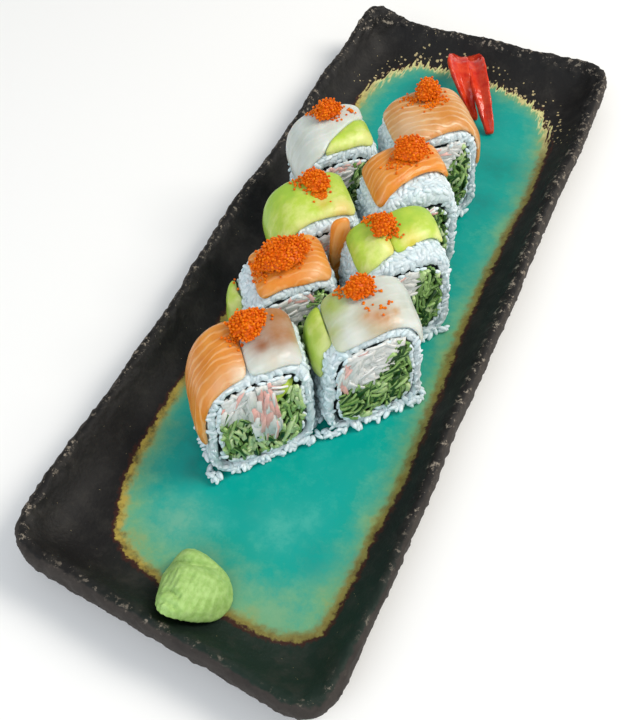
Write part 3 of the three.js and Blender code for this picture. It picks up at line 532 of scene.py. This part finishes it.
def raw_fish(name, flesh, deep, fat, line_spacing, line_share):
    """Raw fish cut across the grain: wet, half clear flesh with soft pale lines of fat that follow the
    slice. The slice's own "bleed" says where roe, sauce or fruit tints it."""
    material, shader, put = finish_of(name)
    lie = put("ShaderNodeAttribute", attribute_name="lie").outputs["Vector"]
    run = put("ShaderNodeSeparateXYZ", {0: lie}).outputs[1]
    bend = put("ShaderNodeTexNoise", {"Vector": lie, "Scale": 1 / 11, "Detail": 3})
    bend = put("ShaderNodeMapRange", {0: bend, 3: -3.2, 4: 3.2})
    run = put("ShaderNodeMath", {0: run, 1: bend})
    turns = put("ShaderNodeMath", {0: run, 1: 2 * math.pi / line_spacing}, operation="MULTIPLY")
    wave = put("ShaderNodeMath", {0: turns}, operation="SINE")
    breaks = put("ShaderNodeTexNoise", {"Vector": lie, "Scale": 1 / 6, "Detail": 4})
    width = put("ShaderNodeMapRange", {0: breaks, 1: 0.35, 2: 0.65, 3: 1.1, 4: 0.5})
    line = put("ShaderNodeMath", {0: wave, 1: width}, operation="SUBTRACT")
    line = put("ShaderNodeMapRange", {0: line, 1: -0.5, 2: 0.4, 3: 0.0, 4: line_share})
    mottle = put("ShaderNodeTexNoise", {"Vector": lie, "Scale": 1 / 8, "Detail": 5, "Roughness": 0.6})
    share = put("ShaderNodeMapRange", {0: mottle, 1: 0.35, 2: 0.68})
    colour = put("ShaderNodeMix", {0: share, 6: flesh, 7: deep}, data_type="RGBA")
    colour = put("ShaderNodeMix", {0: line, 6: colour, 7: fat}, data_type="RGBA")
    bleed = put("ShaderNodeAttribute", attribute_name="bleed")
    patchy = put("ShaderNodeMapRange", {0: mottle, 1: 0.3, 2: 0.6, 3: 0.8, 4: 1.0})
    patch = put("ShaderNodeMath", {0: bleed.outputs["Alpha"], 1: patchy}, operation="MULTIPLY")
    colour = put("ShaderNodeMix", {0: patch, 6: colour, 7: bleed.outputs["Color"]}, data_type="RGBA")
    relief = put("ShaderNodeMath", {0: mottle, 1: line})
    bump = put("ShaderNodeBump", {"Height": relief, "Strength": 0.4, "Distance": 0.6 * MM})
    soak(shader, colour, bump, 0.31, 0.35, (3.0, 1.6, 1.0))
    return material


def ripe_fruit(name, middle, rim, pale):
    """Ripe avocado, sliced: smooth and buttery, pale towards the stone's side and green by the skin.
    The slice's own "lie" gives its distance from the skin side as a share."""
    material, shader, put = finish_of(name)
    lie = put("ShaderNodeAttribute", attribute_name="lie").outputs["Vector"]
    share = put("ShaderNodeSeparateXYZ", {0: lie}).outputs[2]
    drift = put("ShaderNodeTexNoise", {"Vector": lie, "Scale": 1 / 7, "Detail": 5, "Roughness": 0.6})
    patch = put("ShaderNodeMapRange", {0: drift, 1: 0.3, 2: 0.7, 3: -0.28, 4: 0.28})
    share = put("ShaderNodeMath", {0: share, 1: patch})
    colour = put("ShaderNodeValToRGB", {0: share}, stops=[
        (0.0, rim), (0.22, rim), (0.55, middle), (0.85, pale), (1.0, pale)])
    bleed = put("ShaderNodeAttribute", attribute_name="bleed")
    colour = put("ShaderNodeMix", {0: bleed.outputs["Alpha"], 6: colour, 7: bleed.outputs["Color"]},
                 data_type="RGBA")
    bump = put("ShaderNodeBump", {"Height": drift, "Strength": 0.5, "Distance": 1.2 * MM})
    soak(shader, colour, bump, 0.33, 0.25, (1.6, 2.0, 0.7))
    return material


stoneware = glazed_stoneware()
# Cooked short-grain rice, polished and sticky: bluish white, its grains half clear at the ends.
cooked_rice = moist("cooked_rice", "#C8DEE2", "#E9F3F6", 2.0, 0.36, 0.3, (1.6, 1.6, 1.6))
# Roasted seaweed sheet, damp from the rice: almost black with a green cast.
damp_nori = moist("damp_nori", "#141B1D", "#2B3638", 1.5, 0.5, 0.0, (1, 1, 1), 0.4, tinted=False)
# Shredded cucumber, cut with a julienne blade: pale wet flesh, and skin that is dark green.
cucumber_flesh = moist("cucumber_flesh", "#557F33", "#A4C478", 1.6, 0.3, 0.2, (1.2, 1.6, 0.8))
cucumber_skin = moist("cucumber_skin", "#0F2C0A", "#2F5A20", 1.6, 0.38, 0.05, (0.5, 0.6, 0.3))
cucumber_pale = moist("cucumber_pale_flesh", "#92B765", "#D3E3B0", 1.6, 0.3, 0.3, (1.4, 1.6, 1.0))
# Pressed crab stick pulled into strands: white flesh, dyed pink on its outside.
crab_white = moist("crab_white", "#D6D5CD", "#ECEBE6", 1.5, 0.42, 0.25, (1.8, 1.4, 1.2))
crab_pink = moist("crab_pink", "#E09C92", "#EFC0B6", 1.5, 0.42, 0.2, (1.8, 1.0, 0.9))
# Avocado, sliced: buttery and opaque, pale by the stone and green by the skin.
avocado = ripe_fruit("ripe_avocado", "#B8D04C", "#A0C43E", "#D8E088")
# Raw salmon and white fish: wet and half clear, with soft lines of fat.
salmon = raw_fish("raw_salmon", "#E3963E", "#D47E20", "#F1C088", 2.7, 0.55)
pale_salmon = raw_fish("pale_raw_salmon", "#D79F5E", "#C6823A", "#E9D2AE", 3.0, 0.6)
white_fish = raw_fish("raw_white_fish", "#D0D6CF", "#BFC6BA", "#DFE4E0", 4.0, 0.3)
# Seasoned roe: tiny glossy eggs, clear orange.
roe_egg = moist("seasoned_roe", "#D25000", "#F68808", 1.2, 0.36, 0.2, (1.2, 0.5, 0.1), 0.0, specular=0.22)
# Wasabi paste pressed by hand: matt pale green with a fine grain.
wasabi_paste = moist("wasabi_paste", "#93B861", "#ABCD7B", 2.0, 0.55, 0.15, (1.0, 1.4, 0.8), 0.35,
                     tinted=False)
# Pickled ginger, dyed red and wet with vinegar: clear at its thin edges.
pickled_ginger = moist("pickled_ginger", "#C81E06", "#E04A26", 4.0, 0.14, 0.35, (3.0, 0.9, 0.6), tinted=False)
TOPPING = {"salmon": salmon, "pale_salmon": pale_salmon, "white_fish": white_fish, "avocado": avocado}


# Camera, light and floor

# The photograph's viewpoint: its right, down and forward directions, found from the plate's rim.
VIEW_RIGHT = Vector((0.9147, 0.4032, 0.0266))
VIEW_DOWN = Vector((0.3312, -0.7104, -0.621))
VIEW_FORWARD = Vector((-0.2315, 0.5769, -0.7833))
VIEW_POINT = Vector((83.64, -250.1, 284.9)) * MM
FOCAL_PIXELS = 950
PHOTO_HEIGHT = 720

view = bpy.data.cameras.new("view")
view.lens = FOCAL_PIXELS / PHOTO_HEIGHT * view.sensor_width
view.clip_start = 0.01
camera = add_object("view", view)
camera.matrix_world = (Matrix.Translation(VIEW_POINT)
                       @ Matrix((VIEW_RIGHT, -VIEW_DOWN, -VIEW_FORWARD)).transposed().to_4x4())
bpy.context.scene.camera = camera
bpy.context.scene.view_settings.view_transform = "Standard"


def lamp(name, place, size, power, colour):
    """A soft square light that faces the food."""
    light = bpy.data.lights.new(name, "AREA")
    light.size = size
    light.energy = power
    light.color = linear(colour)[:3]
    obj = add_object(name, light)
    obj.location = place
    obj.rotation_euler = (-Vector(place)).to_track_quat("-Z", "Y").to_euler()


lamp("window", (0.75, 0.5, 0.95), 0.6, 13, "#FFF9F0")
lamp("front_fill", (-0.1, -1.0, 0.75), 1.0, 7.5, "#F2F7FF")
world = bpy.data.worlds.new("studio")
world.use_nodes = True
feed(world.node_tree.nodes["Background"], {"Color": "#EEF2F6", "Strength": 0.52})
bpy.context.scene.world = world

bpy.ops.mesh.primitive_plane_add(size=3)
floor = bpy.context.object
floor.name = "floor"
# A matt white table top.
pale, pale_shader, _ = finish_of("pale_floor")
feed(pale_shader, {"Base Color": "#F4F4F2", "Roughness": 0.8})
floor.data.materials.append(pale)


# Plate

plate = copy_of("plate", "glazed_plate", stoneware)
soften(plate, 1, split=1)
even_out(plate, 1.3)
x, y, z = points_of(plate).T / MM
facing = np.array([vertex.normal[:] for vertex in plate.data.vertices])
# Past 52 mm across or 156 mm along, a point is wall as far as it faces outward.
side_wall = np.where(abs(x) > 52, facing[:, 0] * np.sign(x), 0)
end_wall = np.where(abs(y) > 156, facing[:, 1] * np.sign(y), 0)
wall = np.maximum(side_wall, end_wall)

# Broad waves all over, and fine lumps on the walls and over the 4 mm below the rim's crest. The underside
# stays flat.
RIM_START, RIM_RISE, UNDERSIDE = 12.5, 4, 0.7
flat = points_of(plate)
roughen(plate, 14, 0.7)
smooth = points_of(plate)
roughen(plate, 2.8, 1.8)
coarse = np.clip(np.maximum((z - RIM_START) / RIM_RISE, wall), 0.1, 1)[:, None]
lumpy = smooth + (points_of(plate) - smooth) * coarse
lumpy[z < UNDERSIDE] = flat[z < UNDERSIDE]
lumpy[:, 2] = np.maximum(lumpy[:, 2], 0)
set_points(plate, lumpy)

# The hazy border of the pool is 13 mm wide, and 25 mm at the near end.
border = 13 + 12 * np.clip((-y - 108) / 20, 0, 1)
ground = np.stack([x, y], 1)
mark(plate, "pool", np.stack([distance_outside(ground, POOL_EDGE), border, wall], 1))
# The clouds, with painted shadow beside L1 and a painted reflection at the near end among them.
mark(plate, "bleed", blurred(ground, POOL_CLOUDS))


# Small things, each modelled once

def small_thing(name, materials):
    """The thing just modelled, out of edit mode and with its materials."""
    bpy.ops.object.mode_set(mode="OBJECT")
    obj = bpy.context.object
    obj.name = name
    for material in materials:
        obj.data.materials.append(material)
    return obj


def shift_points(wanted, offset):
    """Moves the points of the edited mesh that stand where wanted, by an offset in mm."""
    bpy.ops.mesh.select_all(action="DESELECT")
    bpy.ops.mesh.select_mode(type="VERT")
    bpy.ops.object.mode_set(mode="OBJECT")
    mesh = bpy.context.object.data
    for vertex in mesh.vertices:
        vertex.select = wanted(vertex.co / MM)
    bpy.ops.object.mode_set(mode="EDIT")
    bpy.ops.transform.translate(value=Vector(offset) * MM)


def rice_grain():
    """A short grain, 4.6 mm long and 2.1 mm thick, a little bent."""
    bpy.ops.mesh.primitive_uv_sphere_add(segments=7, ring_count=6, radius=MM)
    bpy.ops.object.mode_set(mode="EDIT")
    bpy.ops.transform.rotate(value=math.pi / 2, orient_axis="Y", center_override=(0, 0, 0))
    bpy.ops.transform.resize(value=(2.3, 1.05, 1.0))
    shift_points(lambda co: abs(co.x) > 1.5, (0, 0, -0.3))
    return small_thing("grain", [cooked_rice])


def strip(name, length, width, thick, bend, materials):
    """A shred of a length, width and thickness in mm, bent a little past its middle, its top in the second
    material."""
    bpy.ops.mesh.primitive_cube_add(size=MM)
    bpy.ops.object.mode_set(mode="EDIT")
    bpy.ops.transform.resize(value=(length, width, thick))
    bpy.ops.mesh.bevel(offset=0.22 * MM, segments=1)
    bpy.ops.mesh.select_all(action="SELECT")
    bend_at = 0.12 * length
    bpy.ops.mesh.bisect(plane_co=(bend_at * MM, 0, 0), plane_no=(1, 0, 0))
    shift_points(lambda co: abs(co.x - bend_at) < 0.05, (0, 0, bend))
    obj = small_thing(name, materials)
    for polygon in obj.data.polygons:
        polygon.material_index = 1 if polygon.normal.z > 0.6 else 0
    return obj


def egg():
    """One egg, 1 mm across, a little flattened, with a dimple."""
    bpy.ops.mesh.primitive_uv_sphere_add(segments=8, ring_count=5, radius=0.5 * MM)
    bpy.ops.object.mode_set(mode="EDIT")
    bpy.ops.transform.resize(value=(1, 0.96, 0.9))
    shift_points(lambda co: co.z > 0.4, (0, 0, -0.08))
    return small_thing("egg", [roe_egg])


grain = rice_grain()
green_shred = strip("shred", 6.5, 1.5, 1.1, 0.5, [cucumber_flesh, cucumber_skin])
pale_shred = strip("pale_shred", 6.0, 1.9, 1.3, 0.4, [cucumber_pale, cucumber_pale])
white_strand = strip("strand", 8.0, 2.9, 0.8, 0.25, [crab_white, crab_white])
pink_strand = strip("pink_strand", 9.5, 1.5, 0.9, 0.5, [crab_white, crab_pink])
roe = egg()
SMALL_THINGS = (grain, green_shred, pale_shred, white_strand, pink_strand, roe)


# Rice, nori and fillings

def tree_of(names):
    """A lookup of the surfaces of some solids of the frame."""
    points, faces = [], []
    for name in names:
        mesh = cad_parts[name].data
        start = len(points)
        points += [vertex.co.copy() for vertex in mesh.vertices]
        faces += [[start + i for i in polygon.vertices] for polygon in mesh.polygons]
    return BVHTree.FromPolygons(points, faces)


def pressed_over_nori(name, rng):
    """Grains that the knife smeared over the seaweed's cut edge, fewer at the top where it shows."""
    piece = PIECES[name]
    half_width = piece.width / 2 - NORI_EDGE
    half_height = (piece.height - piece.crown) / 2 - NORI_EDGE
    tangent = NORI_CURVE - 2
    places = []
    for at_back in (False, True):
        for step in range(60):
            angle = step * math.tau / 60
            c, s = math.cos(angle), math.sin(angle)
            reach = (abs(c) ** NORI_CURVE + abs(s) ** NORI_CURVE) ** (-1 / NORI_CURVE)
            share = 0.35 if s > 0.55 else 0.75
            if rng.random() < share:
                u, z = half_width * reach * c, half_height * (1 + reach * s) + NORI_EDGE
                turn = math.atan2(half_height * c * abs(c) ** tangent, -half_width * s * abs(s) ** tangent)
                u, z = u + rng.gauss(0, 0.25), z + rng.gauss(0, 0.25)
                turn, lift = turn + rng.gauss(0, 0.3), rng.uniform(-0.25, 0.1)
                places.append(on_face(name, u, z, turn, lift, at_back, (rng.uniform(0.55, 0.85), 0.8, 0.55)))
    return places


def squeezed_out(name, rng):
    """Grains pressed out along the foot of a piece, lying on the plate."""
    piece = PIECES[name]
    half, depth = piece.width / 2 * 1.03, piece.depth
    sides = ("front", "front", "left", "right") if name in ("L1", "R1") else ("front",)
    places = []
    count = 80 if len(sides) > 1 else 24
    for _ in range(count):
        side = rng.choice(sides)
        out = abs(rng.gauss(0, 0.45)) - 0.3
        if side == "front":
            u, back = rng.uniform(-half, half), -out
        else:
            u, back = (half + out) * (-1 if side == "left" else 1), rng.uniform(0, depth)
        point = from_piece(name, u, back, rng.uniform(0.6, 2.4))
        size = rng.uniform(0.75, 1.05)
        places.append(lying(point, UP, rng.uniform(0, math.tau), rng.gauss(0, 0.3), (size,) * 3))
    return places


def lay_rice(name):
    """The rice ring: a lumpy core, with grains half sunk in it wherever it shows. Those on the cut faces
    are cut flat."""
    rng = random.Random(f"rice {name}")
    core = copy_of(f"rice_{name}", f"rice_grains_{name}", cooked_rice)
    soften(core, 1, split=1)
    roughen(core, 2.2, 0.8, middle=0.7)
    mark_whole(core, "tint", (0.5, 0.5, 0.5))
    covers = tree_of([f"nori_{name}"] + [node for node, (piece, _, _) in SLICES.items() if piece == name])
    axis = (from_piece(name, 0, 1, 0) - from_piece(name, 0, 0, 0)).normalized()

    def shows(point, normal):
        if point.z < FOOT * MM or covers.ray_cast(point + normal * 0.1 * MM, normal, 4 * MM)[0]:
            return False
        return normal.z > -0.5

    places = []
    for point, normal in spots_on(core, GRAIN_SPACING, rng, shows):
        size = rng.uniform(0.8, 1.1)
        is_cut = abs(normal.dot(axis)) > 0.25
        lift = rng.uniform(-0.45, -0.05) if is_cut else rng.uniform(-0.65, -0.05)
        tilt = rng.gauss(0, 0.08 if is_cut else 0.28)
        places.append(lying(point + normal * lift * MM, normal, rng.uniform(0, math.tau), tilt,
                            (size, size, size * (0.5 if is_cut else 1))))
    cover(core, {grain: places + pressed_over_nori(name, rng) + squeezed_out(name, rng)}, rng)


def lay_nori(name):
    """The seaweed sheet, swollen to meet the rice, its cut edges a little below the faces."""
    sheet = copy_of(f"nori_{name}", f"nori_sheet_{name}", damp_nori)
    soften(sheet, 1)
    depth = PIECES[name].depth
    places = [to_piece(name, point) for point in points_of(sheet)]
    set_points(sheet, [from_piece(name, u, min(max(back, 0.5), depth - 0.5), z) for u, back, z in places])
    roughen(sheet, 5, 0.4)
    swell(sheet, 0.05)


def face_spots(name, spacing, rng, wanted):
    """Random places on a cut face, as across and up in mm, where wanted says so."""
    piece = PIECES[name]
    spots = []
    for _ in range(int(piece.width * piece.height / spacing ** 2 * 6)):
        u, z = rng.uniform(-0.5, 0.5) * piece.width, rng.uniform(0, piece.height)
        if wanted(u, z) and all((u - a) ** 2 + (z - b) ** 2 > spacing ** 2 for a, b in spots):
            spots.append((u, z))
    return spots


def fitting(name, u, z, turn, half, size):
    """How far a strip has to shrink to stay inside the nori at both its ends."""
    du, dz = math.cos(turn) * half, math.sin(turn) * half
    while size > 0.35 and not all(
            inside_nori(name, u + k * du * size, z + k * dz * size, -0.3) for k in (-1, 1)):
        size -= 0.1
    return size


# How most of the shreds on each piece lie, in degrees: their turn in the middle, how much it varies and
# how much it grows for each mm to the right.
SHRED_LIE = {"L1": (82, 28, 0), "R1": (38, 34, 2.2), "L2": (60, 45, 0), "R2": (72, 40, 0), "L3": (60, 45, 0),
             "R3": (75, 40, 0), "L4": (60, 45, 0), "R4": (75, 35, 0)}
# The sector of the crab on each piece, in degrees round the middle. On L1, avocado lies before it.
CRAB = {"L1": (62, 152), "L2": (60, 165), "L3": (60, 165), "L4": (60, 165), "R1": (58, 178), "R2": (70, 175),
        "R3": (55, 165), "R4": (50, 150)}
AVOCADO_FROM = 36


def filling_core(node, name, material, tint):
    """A filling's own solid, swollen to meet the nori, under its shreds."""
    core = copy_of(node, name, material)
    soften(core, 1, split=1)
    swell(core, 0.3)
    mark_whole(core, "tint", (tint, 0.5, 0.5))
    return core


def lay_cucumber(name):
    """Shredded cucumber: a core in the dark green of its skin, in its sector, with shreds over both cut
    faces. Where it shows between the shreds the dark core is painted shade in the gaps.
    """
    rng = random.Random(f"cucumber {name}")
    # The core's dark skin green shows between the shreds as painted shade in the gaps.
    core = filling_core(f"cucumber_{name}", f"cucumber_shreds_{name}", cucumber_skin, 0.4)
    crab_from, crab_to = CRAB[name]
    if name == "L1":
        crab_from = AVOCADO_FROM
    heading, spread, growth = SHRED_LIE[name]
    kinds = {green_shred: [], pale_shred: []}
    pale_share = 0.42 if name == "L1" else 0.14
    for at_back in (False, True):
        def wanted(u, z):
            return inside_nori(name, u, z, 0.1) and not crab_from < around(name, u, z) < crab_to
        for u, z in face_spots(name, SHRED_SPACING, rng, wanted):
            turn = math.radians(heading + growth * u + rng.gauss(0, spread))
            size = fitting(name, u, z, turn, 3.1, rng.uniform(0.6, 1.15))
            place = on_face(name, u, z, turn, rng.uniform(-0.8, 0.2), at_back,
                            (size, rng.uniform(0.7, 1.25), 1.0), rng.gauss(0, 0.2))
            kind = pale_shred if rng.random() < pale_share else green_shred
            kinds[kind].append(place @ Matrix.Rotation(rng.uniform(0, math.tau), 4, "X"))
    cover(core, kinds, rng)


def lay_crab(name):
    """Crab stick: a white core in its sector, with pulled strands over both cut faces. The pink ones lie
    by the nori, and on the first piece they hang in a bundle from the middle."""
    rng = random.Random(f"crab {name}")
    core = filling_core(f"crab_{name}", f"crab_strands_{name}", crab_white, 0.7)
    crab_from, crab_to = CRAB[name]
    kinds = {white_strand: [], pink_strand: []}
    for at_back in (False, True):
        hangs = name == "L1" and not at_back

        def in_bundle(u, z):
            return hangs and abs(u - 0.5 + 0.1 * (z - 30)) < 4.2 and z > 14.5

        def wanted(u, z):
            in_sector = crab_from < around(name, u, z) < crab_to
            return inside_nori(name, u, z, 0.2) and (in_sector or in_bundle(u, z))
        for u, z in face_spots(name, STRAND_SPACING, rng, wanted):
            bundled = in_bundle(u, z)
            outer = not inside_nori(name, u, z, 3.2)
            turn = math.radians(rng.gauss(95, 7) if bundled else rng.gauss(around(name, u, z) - 80, 22))
            size = fitting(name, u, z, turn, 4.2, rng.uniform(0.75, 1.1))
            lift = rng.uniform(0.1, 1.2) if bundled else rng.uniform(-0.6, -0.15)
            place = on_face(name, u, z, turn, lift, at_back, (size, rng.uniform(0.7, 1.15), 1.0),
                            rng.gauss(0, 0.05))
            pink_share = 0.6 if bundled else 0.38 if outer else 0.03
            kind = pink_strand if rng.random() < pink_share else white_strand
            kinds[kind].append(place @ Matrix.Rotation(rng.gauss(0, 0.3), 4, "X"))
    cover(core, kinds, rng)


for name in PIECES:
    lay_rice(name)
    lay_nori(name)
    lay_cucumber(name)
    lay_crab(name)

creamy = copy_of("avocado_filling_L1", "avocado_piece_L1", avocado)
soften(creamy, 1, split=1)
swell(creamy, 0.3)
mark_whole(creamy, "lie", (0, 0, 0.6))
mark_whole(creamy, "bleed", (0, 0, 0, 0))


# Toppings

# Tints on the slices, from roe, sauce and what lies under them: across, back and reach in mm, then the
# colour and its strength.
BLEEDS = {
    "white_fish_L1": [(13, 21, 13, "#A8691C", 1.0), (11, 12, 9, "#A0641C", 1.0), (4, 9, 4.5, "#80421F", 1.0),
                      (6, 3, 3, "#D9D6C6", 0.8), (14, 2, 3.5, "#DDE3DF", 0.9), (18, 5, 3.5, "#D6D8CC", 0.8)],
    "salmon_L1": [(-5, 1.5, 5, "#DDD3BC", 0.85), (-3, 9, 4, "#B5652A", 0.5), (-12, 2, 4, "#DBAF80", 0.5)],
    "salmon_L2": [(0, 11, 9, "#DB7A1C", 0.6), (9, 2, 5, "#E3B984", 0.6)],
    "white_fish_R1": [(2, 4, 9, "#AC986A", 0.85), (-0.5, 7.5, 2.4, "#CC7A18", 0.95),
                      (2.5, 6, 2.4, "#C46C14", 1.0), (5.5, 4.2, 2.4, "#CA7418", 0.95),
                      (9.5, 6, 2.2, "#CC8428", 0.9), (9, 2.5, 2, "#CC9A58", 0.7),
                      (-12, 19, 8, "#A0B344", 1.0), (-14, 8, 4.5, "#B3C068", 0.85),
                      (-13, 2, 4, "#CDD3AE", 0.6), (-6, 0, 3.5, "#DDE4E2", 0.8),
                      (13, 0, 3.5, "#DDE4E2", 0.8)],
    "white_fish_L4": [(2, 22, 5, "#CFA070", 0.5)],
    "avocado_L3": [(9, 3, 4, "#D99A3E", 0.5), (2, 7, 2.5, "#C9A02E", 0.6)],
    "avocado_left_R2": [(-2, 7, 3, "#DDB234", 0.55)],
    "avocado_right_R2": [(5, 7, 3.5, "#DDB83A", 0.55)],
    "avocado_R1": [(-14, 10, 5, "#C4D088", 0.5)],
    "salmon_R3": [(2, 11, 8, "#DB8424", 0.5)],
    "salmon_R4": [(-12, 8, 8, "#DBBE9A", 0.7), (6, 9, 5, "#CB7E22", 0.7), (3, 18, 6, "#C98438", 0.5)],
}


def lay_slice(node):
    """A slice over the rice, its surface a little uneven and its front edge tucked down to the rice. It is
    marked with the way its fat lines run, how far each point is from its skin side, and its tints."""
    name, kind, slope = SLICES[node]
    obj = copy_of(node, node.replace("_", "_slice_", 1), TOPPING[kind])
    soften(obj, 2)
    swell(obj, 0.35)
    roughen(obj, 6, 0.6)
    places = np.array([to_piece(name, point) for point in points_of(obj)])
    angles = np.radians([around(name, u, z) for u, _, z in places])
    tuck = TUCK * (1 - np.clip((places[:, 1] - places[:, 1].min()) / TUCK_REACH, 0, 1)) ** 1.5
    places -= np.stack([tuck * np.cos(angles), np.zeros_like(tuck), tuck * np.sin(angles)], 1)
    set_points(obj, [from_piece(name, *place) for place in places])
    arc = angles * PIECES[name].height / 2
    back = places[:, 1]
    from_skin = (back.max() - back) / np.ptp(back) * 0.7 + 0.3 * (arc.max() - arc) / np.ptp(arc)
    mark(obj, "lie", np.stack([arc, back + slope * arc, from_skin], 1))
    mark(obj, "bleed", blurred(places, BLEEDS.get(node, [])))


for node in SLICES:
    lay_slice(node)


# Where eggs fell beside each clump of roe: across, back and spread in mm, and how many.
SPILLS = {
    "L1": [(-3, 12, 4, 50), (6, 18, 4, 40), (0, 22, 3, 25)],
    "L2": [(-9, 6, 5, 110), (6, 15, 4.5, 90), (-14, 12, 3.5, 45), (4, 4, 3, 40)],
    "L3": [(3, 8, 3, 70), (-2, 17, 4, 45), (1, 12, 3, 50)],
    "L4": [(2, 14, 3.5, 40), (-5, 20, 3, 30), (10, 15, 2, 14)],
    "R1": [(4, 14, 3.5, 45), (-5, 17, 3.5, 40), (2, 22, 3, 20), (1.5, 7, 1.6, 6), (5.5, 4.5, 1.8, 7),
           (9.5, 6, 1.2, 3)],
    "R2": [(0, 9, 3.2, 40), (-7, 18, 3, 30), (-3, 20, 3, 30)],
    "R3": [(-4, 12, 4, 60), (9, 15, 4, 60), (2, 11, 3, 40)],
    "R4": [(6, 14, 4, 70), (-4, 18, 4, 45), (1, 12, 3, 30)],
}

# The layers of eggs on a clump: how high each lies in mm, and how much wider it is spaced.
ROE_LAYERS = ((0.05, 1.0), (0.6, 1.35), (1.2, 2.6))


def lay_roe(name):
    """A clump of roe: an orange core under single eggs in a ragged heap, with some fallen beside it."""
    rng = random.Random(f"roe {name}")
    core = copy_of(f"roe_{name}", f"roe_eggs_{name}", roe_egg)
    soften(core, 1)
    roughen(core, 2.5, 1.6, middle=0.9)
    mark_whole(core, "tint", (0.2, 0.5, 0.5))
    places = []

    def drop(point, normal, lift):
        size = rng.uniform(0.85, 1.15)
        places.append(lying(point + normal * lift * MM, normal, rng.uniform(0, math.tau), 0, (size,) * 3))

    for lift, spacing in ROE_LAYERS:
        for point, normal in spots_on(core, EGG_SPACING * spacing, rng, lambda p, n: n.z > -0.6):
            drop(point, normal, lift + rng.uniform(-0.15, 0.25))
    under = tree_of([node for node, (piece, _, _) in SLICES.items() if piece == name])
    for across, back, spread, count in SPILLS[name]:
        for _ in range(count):
            start = from_piece(name, rng.gauss(across, spread / 2), rng.gauss(back, spread / 2), 70)
            point, normal, _, _ = under.ray_cast(start, -UP)
            if point:
                drop(point, normal, 0.45)
    cover(core, {roe: places}, rng)


for name in PIECES:
    lay_roe(name)


# Wasabi and ginger

# Where the wasabi was folded over itself, across and along in mm.
FOLDS = [[(-6, -142.3), (-5.2, -141.7), (-1.4, -141.6), (2.3, -141.7), (4.9, -140.3), (8.4, -138.6)],
         [(-2, -154.6), (-0.9, -154.1), (1.4, -153.2), (4.9, -154.4)],
         [(0.5, -157.9), (3.3, -157.4), (5.8, -157.9)], [(12.1, -140.9), (12.9, -140.3)]]

# Below this height in mm the paste has no marks.
WASABI_FOOT = 9

wasabi = copy_of("wasabi", "wasabi_mound", wasabi_paste)
soften(wasabi, 1, split=1)
even_out(wasabi, 0.5)
points = points_of(wasabi) / MM
across, along, height = points.T
# Comb marks 1.9 mm apart run down its near side.
comb = np.sin(across * 3.3 + 1.2 * np.sin(along * 0.3)) * np.clip((-along - 140) / 8, 0.3, 1)
along -= 0.14 * comb
height += 0.17 * comb * (height > WASABI_FOOT)
for fold in FOLDS:
    gap = distance_outside(points[:, :2], fold + fold[-2:0:-1])
    height -= 1.3 * np.exp(-(gap / 0.8) ** 2) * (height > WASABI_FOOT)
set_points(wasabi, points * MM)
roughen(wasabi, 5, 0.5)
roughen(wasabi, 1.2, 0.2)

for name in ("ginger_front", "ginger_back"):
    ginger = copy_of(name, f"pickled_{name}", pickled_ginger)
    soften(ginger, 2, split=1)
    swell(ginger, 0.45)
    roughen(ginger, 6, 1.0)
    roughen(ginger, 1.6, 0.2)

for once in SMALL_THINGS:
    bpy.data.objects.remove(once)
